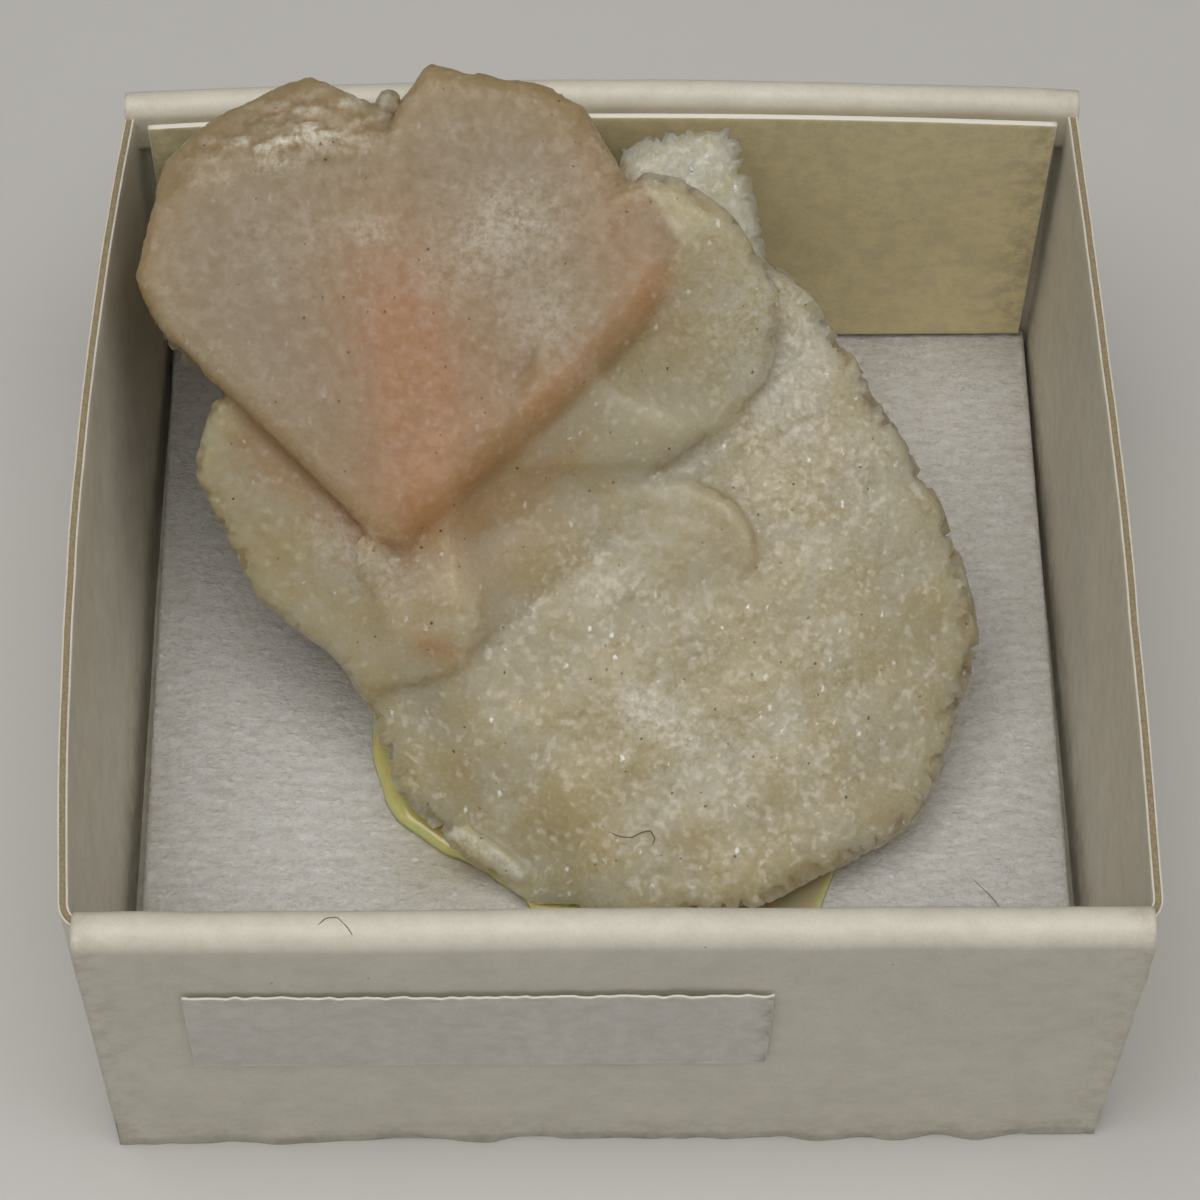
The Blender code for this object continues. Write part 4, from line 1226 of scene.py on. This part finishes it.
def build_name_card(colours):
    """The bare yellow card behind the cluster: a thin slab that leans on the back wall, arched
    along its top like the wall and curled a little at its ends."""
    steps = (160, 70)
    wide = (CARD_HIGH[0] - CARD_LOW[0]) / 2
    high = (CARD_HIGH[2] - CARD_LOW[2]) / 2
    points, quads, flag = slab((wide, high, 0.25), steps, 0.06)
    across, up, through = points.T
    share = (up + high) / (2 * high)
    z = CARD_LOW[2] + 2 * high * share + share**2 * (0.25 + 0.55 * (1 - (across / wide) ** 2))
    lean = 0.40 * share + 0.12 * share * (across / wide) ** 2
    wave = 0.03 * rough(np.stack([across, z], -1), 7, 5)
    y = CARD_HIGH[1] - 0.33 - lean + wave - (through + 0.25)
    points = np.stack([across, y, z], -1)
    edge = np.where(flag == 0, 0.9, 0) + np.zeros(len(z))
    # darker towards both ends
    grime = 0.2 + 0.3 * np.clip((abs(across) - wide + 2) / 2, 0, 1)
    zones = np.stack([grime, edge, np.zeros(len(z)), np.zeros(len(z))], -1)
    piece = mesh_object("yellow_name_card", points, quads, None, zones)
    return fitted(piece, paper_material("bare yellow card", tuple(colours.yellow), 0.42), ["name_card"])


def build_label(colours):
    """The bare label on the tray's front: thin paper whose top and bottom are torn perforations."""
    steps = (220, 50)
    wide = (LABEL_HIGH[0] - LABEL_LOW[0]) / 2
    high = (LABEL_HIGH[2] - LABEL_LOW[2]) / 2
    points, quads, flag = slab((wide, high, 0.10), steps, 0.03)
    across, up, through = points.T
    tear = 0.09 * rough(across[:, None] * np.array([[1.0, 0.0]]), 3, 0.35) + 0.06 * np.abs(np.sin(across * 3.4))
    up = up - np.sign(up) * np.clip((abs(up) - high + 0.5) / 0.5, 0, 1) * (0.08 + tear)
    x = (LABEL_HIGH[0] + LABEL_LOW[0]) / 2 + across + 0.02 * rough(up[:, None] * np.array([[1.0, 0.0]]), 5, 0.4)
    z = (LABEL_HIGH[2] + LABEL_LOW[2]) / 2 + up
    wall = -(19.3 + FRONT_FLARE * z / (20.0 - ROLL / 2))
    y = wall + 0.1 - 0.13 - 0.02 * rough(np.stack([x, z], -1), 4, 3.0) - through * 1.0 - 0.10
    y = wall - 0.02 - (through + 0.10) + 0.02 * rough(np.stack([x, z], -1), 4, 3.0)
    y = np.maximum(y, cad_low()[1])
    points = np.stack([x, y, z], -1)
    edge = np.where(flag == 0, 0.8, 0) + 0.5 * np.clip((abs(up) - high + 0.35) / 0.2, 0, 1)
    grime = 0.2 + 0.5 * np.clip((across - wide + 0.6) / 0.6, 0, 1) + 0.3 * np.clip((abs(up) - high + 0.6) / 0.6, 0, 1)
    zones = np.stack([grime, edge, np.zeros(len(z)), np.zeros(len(z))], -1)
    piece = mesh_object("bare_label", points, quads, None, zones)
    return fitted(piece, paper_material("bare label paper", tuple(colours.paper), 0.5), ["number_label"])


# ---- dust ----


def tube(path, radius, sides=8):
    """A thin round fibre: rings of the given radius square to the path, with the radius falling
    to a point at both ends."""
    steps = np.linspace(0, 1, 40)
    at = np.linspace(0, 1, len(path))
    line = np.stack([np.interp(steps, at, path[:, axis]) for axis in range(3)], -1)
    for _ in range(3):
        line[1:-1] = (line[:-2] + 2 * line[1:-1] + line[2:]) / 4
    along = np.gradient(line, axis=0)
    along /= np.linalg.norm(along, axis=1)[:, None]
    beside = np.cross(along, OUT_OF_FACE)
    beside /= np.linalg.norm(beside, axis=1)[:, None]
    above = np.cross(beside, along)
    turns = np.linspace(0, 2 * np.pi, sides, endpoint=False)
    girth = radius * np.clip(np.minimum(steps, 1 - steps) * 12, 0.25, 1)
    rings = line[:, None] + girth[:, None, None] * (np.cos(turns)[None, :, None] * beside[:, None] + np.sin(turns)[None, :, None] * above[:, None])
    quads, fans = strip(None, rings.shape[:2])
    return with_ends(rings), quads, fans, np.zeros((len(steps) * sides + 2, 4))


def settled(places, down, start, targets, lift):
    """Points dropped from a start level along a direction onto the named pieces."""
    trees = []
    for name in targets:
        mesh = bpy.data.objects[name].data
        points = np.empty(len(mesh.vertices) * 3)
        mesh.vertices.foreach_get("co", points)
        faces = [tuple(polygon.vertices) for polygon in mesh.polygons]
        trees.append(BVHTree.FromPolygons([Vector(point) for point in points.reshape(-1, 3)], faces))
    found = []
    for place in places:
        origin = Vector(np.array(place) * MM - np.array(down) * start * MM)
        hits = [tree.ray_cast(origin, Vector(down)) for tree in trees]
        hits = [hit for hit in hits if hit[0] is not None]
        if not hits:
            raise RuntimeError("a fibre found nothing to lie on")
        nearest = min(hits, key=lambda hit: hit[3])
        found.append(np.array(nearest[0]) / MM - np.array(down) * lift)
    return np.array(found)


def build_dust(colours):
    """A stray fibre on the matrix, one on the foam and one on the front lip."""
    material = fibre_material("stray fibre", tuple(colours.fibre))
    face_down = tuple(-OUT_OF_FACE)
    on_matrix = [(0.05, -10.15), (0.5, -10.35), (1.0, -10.4), (1.35, -10.2), (1.75, -10.1), (1.95, -10.45), (1.8, -10.75)]
    places = [from_lean(np.array([a, b, 0.0])) for a, b in on_matrix]
    line = settled(places, face_down, 6.0, ["stilbite_stone"], 0.035)
    parts = [tube(line, 0.028)]
    on_foam = [(15.2, -9.0), (16.0, -9.9), (16.8, -11.2), (17.3, -12.6)]
    line = settled([np.array([x, y, 5.0]) for x, y in on_foam], (0, 0, -1.0), 5.0, ["foam_skin"], 0.02)
    parts.append(tube(line, 0.018))
    on_lip = [(-10.9, -19.2), (-10.6, -18.9), (-10.2, -18.85), (-9.8, -19.3), (-9.6, -19.6)]
    line = settled([np.array([x, y, 21.0]) for x, y in on_lip], (0, 0, -1.0), 5.0, ["tray_front_wall"], 0.02)
    parts.append(tube(line, 0.02))
    points, quads, fans, zones = joined(parts)
    piece = mesh_object("stray_fibres", points, quads, fans, zones)
    return fitted(piece, material, [])


# ---- stage ----


def build_stage(settings):
    """A pale floor that curves up behind, a soft light from above with fills from the front left and front right, and
    the camera.
    """
    u = np.linspace(-1, 1, 41)
    v = np.linspace(0, 1, 60)
    across, along = np.meshgrid(u * 900.0, v)
    run = along * 1400.0 - 500.0
    bend = np.clip((run - 450.0) / 250.0, 0, None)
    y = np.where(run < 450, run, 450 + 250 * np.sin(np.clip(bend, 0, np.pi / 2)))
    z = np.where(run < 450, 0.0, 250 * (1 - np.cos(np.clip(bend, 0, np.pi / 2)))) + np.clip(bend - np.pi / 2, 0, None) * 250
    points = np.stack([across, y, z - 0.02], -1).reshape(-1, 3)
    index = np.arange(points.shape[0]).reshape(across.shape)
    quads = np.stack([index[:-1, :-1], index[:-1, 1:], index[1:, 1:], index[1:, :-1]], -1).reshape(-1, 4)
    floor = mesh_object("studio_floor", points, quads)
    floor.data.materials.append(floor_material(tuple(settings.floor)))

    def softbox(name, energy, size, place, target, colour):
        light = bpy.data.lights.new(name, "AREA")
        light.shape = "RECTANGLE"
        light.energy = energy
        light.size, light.size_y = size
        light.color = colour
        holder = bpy.data.objects.new(name, light)
        bpy.context.scene.collection.objects.link(holder)
        holder.location = place
        holder.rotation_euler = (Vector(target) - Vector(place)).to_track_quat("-Z", "Y").to_euler()
        return holder

    softbox("overhead softbox", settings.key_light, (0.34, 0.26), (-0.03, -0.06, 0.35), (0, 0, 0.012), (1.0, 0.975, 0.94))
    softbox("left fill", settings.fill_light, (0.3, 0.3), (-0.24, -0.16, 0.26), (0, 0, 0.01), (0.95, 0.97, 1.0))
    softbox("right fill", settings.fill_light * 1.6, (0.3, 0.3), (0.28, -0.10, 0.25), (0, 0, 0.01), (1.0, 0.99, 0.97))
    world = bpy.data.worlds.new("studio")
    bpy.context.scene.world = world
    world.use_nodes = True
    world.node_tree.nodes["Background"].inputs["Color"].default_value = (0.9, 0.92, 0.95, 1)
    world.node_tree.nodes["Background"].inputs["Strength"].default_value = settings.ambient

    camera = bpy.data.cameras.new("photo camera")
    camera.sensor_width = 36.0
    camera.lens = 116.2275
    camera.clip_start = 0.005
    holder = bpy.data.objects.new("photo camera", camera)
    bpy.context.scene.collection.objects.link(holder)
    holder.location = (-0.00244, -0.08305, 0.1476)
    holder.rotation_euler = (0.547, -0.00955, -0.01068)
    bpy.context.scene.camera = holder
    bpy.context.scene.view_settings.view_transform = "Standard"


# ---- settings ----


def colour_setting(name, description, default):
    return FloatVectorProperty(name=name, description=description, subtype="COLOR", size=3, min=0.0, max=1.0, default=default)


class StoneSettings(bpy.types.PropertyGroup):
    """Sizes and colours of the crystals."""

    mesh_step: FloatProperty(name="Mesh step", description="Spacing of the stone's surface points in millimetres", default=0.176, min=0.1, max=1.0)
    grain: FloatProperty(name="Grain", description="Spacing of the crust's small crystals in millimetres", default=0.5, min=0.2, max=2.0)
    cream: colour_setting("Cream", "Main colour of the plates and matrix", (0.455, 0.39, 0.225))
    beige: colour_setting("Beige", "The sheaf's quieter tone", (0.30, 0.22, 0.105))
    green: colour_setting("Pale green", "Second, cooler tone of the matrix", (0.49, 0.45, 0.325))
    pink: colour_setting("Pink", "The blush in the sheaf's core", (0.43, 0.215, 0.085))
    smoke: colour_setting("Smoke", "The clearer greyish parts of the sheaf", (0.32, 0.25, 0.16))
    frost: colour_setting("Frost", "Bruised white patches and veils", (0.69, 0.655, 0.555))
    stain: colour_setting("Stain", "Brownish dirt and iron stain along rims", (0.34, 0.23, 0.10))


class TraySettings(bpy.types.PropertyGroup):
    """Sizes and colours of the tray, the foam, the cards and the glue."""

    left_bow: FloatProperty(name="Left bow", description="How far the left wall bows out", default=0.001, unit="LENGTH", min=0.0, max=0.001)
    right_bow: FloatProperty(name="Right bow", description="How far the right wall bows out", default=0.0003, unit="LENGTH", min=0.0, max=0.0003)
    card: colour_setting("Card", "The tray's cream coat", (0.80, 0.76, 0.65))
    board: colour_setting("Greyboard", "The raw cut edge", (0.42, 0.34, 0.20))
    liner: colour_setting("Liner", "Pale paper where the coat is rubbed", (0.84, 0.81, 0.74))
    grime: colour_setting("Grime", "Handling marks on the coat", (0.42, 0.36, 0.26))
    foam: colour_setting("Foam", "The foam pad", (0.95, 0.93, 0.90))
    yellow: colour_setting("Yellow card", "The bare name card", (1.0, 0.88, 0.53))
    paper: colour_setting("Label", "The bare label", (0.78, 0.75, 0.70))
    glue: colour_setting("Glue", "The yellowed glue", (0.68, 0.64, 0.27))
    fibre: colour_setting("Fibre", "Stray fibres", (0.12, 0.10, 0.07))


class StageSettings(bpy.types.PropertyGroup):
    """The floor and the light."""

    floor: colour_setting("Floor", "The pale floor", (0.66, 0.65, 0.63))
    key_light: FloatProperty(name="Key light", description="Power of the softbox above", default=0.86, min=0.0, unit="POWER")
    fill_light: FloatProperty(name="Fill light", description="Power of the side fills", default=0.14, min=0.0, unit="POWER")
    ambient: FloatProperty(name="Ambient", description="Strength of the even light all round", default=0.04, min=0.0)


# ---- operators ----


class SpecimenOperator:
    bl_options = {"REGISTER", "UNDO"}


class SPECIMEN_OT_stage(SpecimenOperator, bpy.types.Operator):
    """Adds the floor, the lights and the camera"""

    bl_idname = "specimen.stage"
    bl_label = "Stage"

    def execute(self, context):
        build_stage(context.scene.specimen_stage)
        return {"FINISHED"}


class SPECIMEN_OT_tray(SpecimenOperator, bpy.types.Operator):
    """Adds the folded card tray"""

    bl_idname = "specimen.tray"
    bl_label = "Card tray"

    def execute(self, context):
        settings = context.scene.specimen_tray
        build_tray(settings, settings)
        return {"FINISHED"}


class SPECIMEN_OT_foam(SpecimenOperator, bpy.types.Operator):
    """Adds the foam pad"""

    bl_idname = "specimen.foam"
    bl_label = "Foam pad"

    def execute(self, context):
        build_foam(context.scene.specimen_tray)
        return {"FINISHED"}


class SPECIMEN_OT_papers(SpecimenOperator, bpy.types.Operator):
    """Adds the bare name card and the bare label"""

    bl_idname = "specimen.papers"
    bl_label = "Card and label"

    def execute(self, context):
        build_name_card(context.scene.specimen_tray)
        build_label(context.scene.specimen_tray)
        return {"FINISHED"}


class SPECIMEN_OT_cluster(SpecimenOperator, bpy.types.Operator):
    """Adds the stilbite cluster"""

    bl_idname = "specimen.cluster"
    bl_label = "Stilbite cluster"

    def execute(self, context):
        settings = context.scene.specimen_stone
        build_cluster(settings, settings)
        return {"FINISHED"}


class SPECIMEN_OT_glue(SpecimenOperator, bpy.types.Operator):
    """Adds the bead of yellowed glue"""

    bl_idname = "specimen.glue"
    bl_label = "Glue"

    def execute(self, context):
        build_glue(context.scene.specimen_tray)
        return {"FINISHED"}


class SPECIMEN_OT_dust(SpecimenOperator, bpy.types.Operator):
    """Adds stray fibres on the matrix, the foam and the front lip"""

    bl_idname = "specimen.dust"
    bl_label = "Dust"

    def execute(self, context):
        build_dust(context.scene.specimen_tray)
        return {"FINISHED"}


STEPS = (
    SPECIMEN_OT_stage,
    SPECIMEN_OT_tray,
    SPECIMEN_OT_foam,
    SPECIMEN_OT_papers,
    SPECIMEN_OT_cluster,
    SPECIMEN_OT_glue,
    SPECIMEN_OT_dust,
)


class SPECIMEN_PT_panel(bpy.types.Panel):
    """Lists the pieces and their settings"""

    bl_label = "Stilbite specimen"
    bl_idname = "SPECIMEN_PT_panel"
    bl_space_type = "VIEW_3D"
    bl_region_type = "UI"
    bl_category = "Specimen"

    def draw(self, context):
        for step in STEPS:
            self.layout.operator(step.bl_idname)
        for name in ("specimen_stone", "specimen_tray", "specimen_stage"):
            box = self.layout.box()
            group = getattr(context.scene, name)
            for key in group.__annotations__:
                box.prop(group, key)


CLASSES = (StoneSettings, TraySettings, StageSettings, *STEPS, SPECIMEN_PT_panel)


def register():
    for item in CLASSES:
        bpy.utils.register_class(item)
    bpy.types.Scene.specimen_stone = PointerProperty(type=StoneSettings)
    bpy.types.Scene.specimen_tray = PointerProperty(type=TraySettings)
    bpy.types.Scene.specimen_stage = PointerProperty(type=StageSettings)


def unregister():
    del bpy.types.Scene.specimen_stone
    del bpy.types.Scene.specimen_tray
    del bpy.types.Scene.specimen_stage
    for item in reversed(CLASSES):
        bpy.utils.unregister_class(item)


def main():
    register()
    for step in STEPS:
        group, _, name = step.bl_idname.partition(".")
        getattr(getattr(bpy.ops, group), name)()


if __name__ == "__main__":
    main()
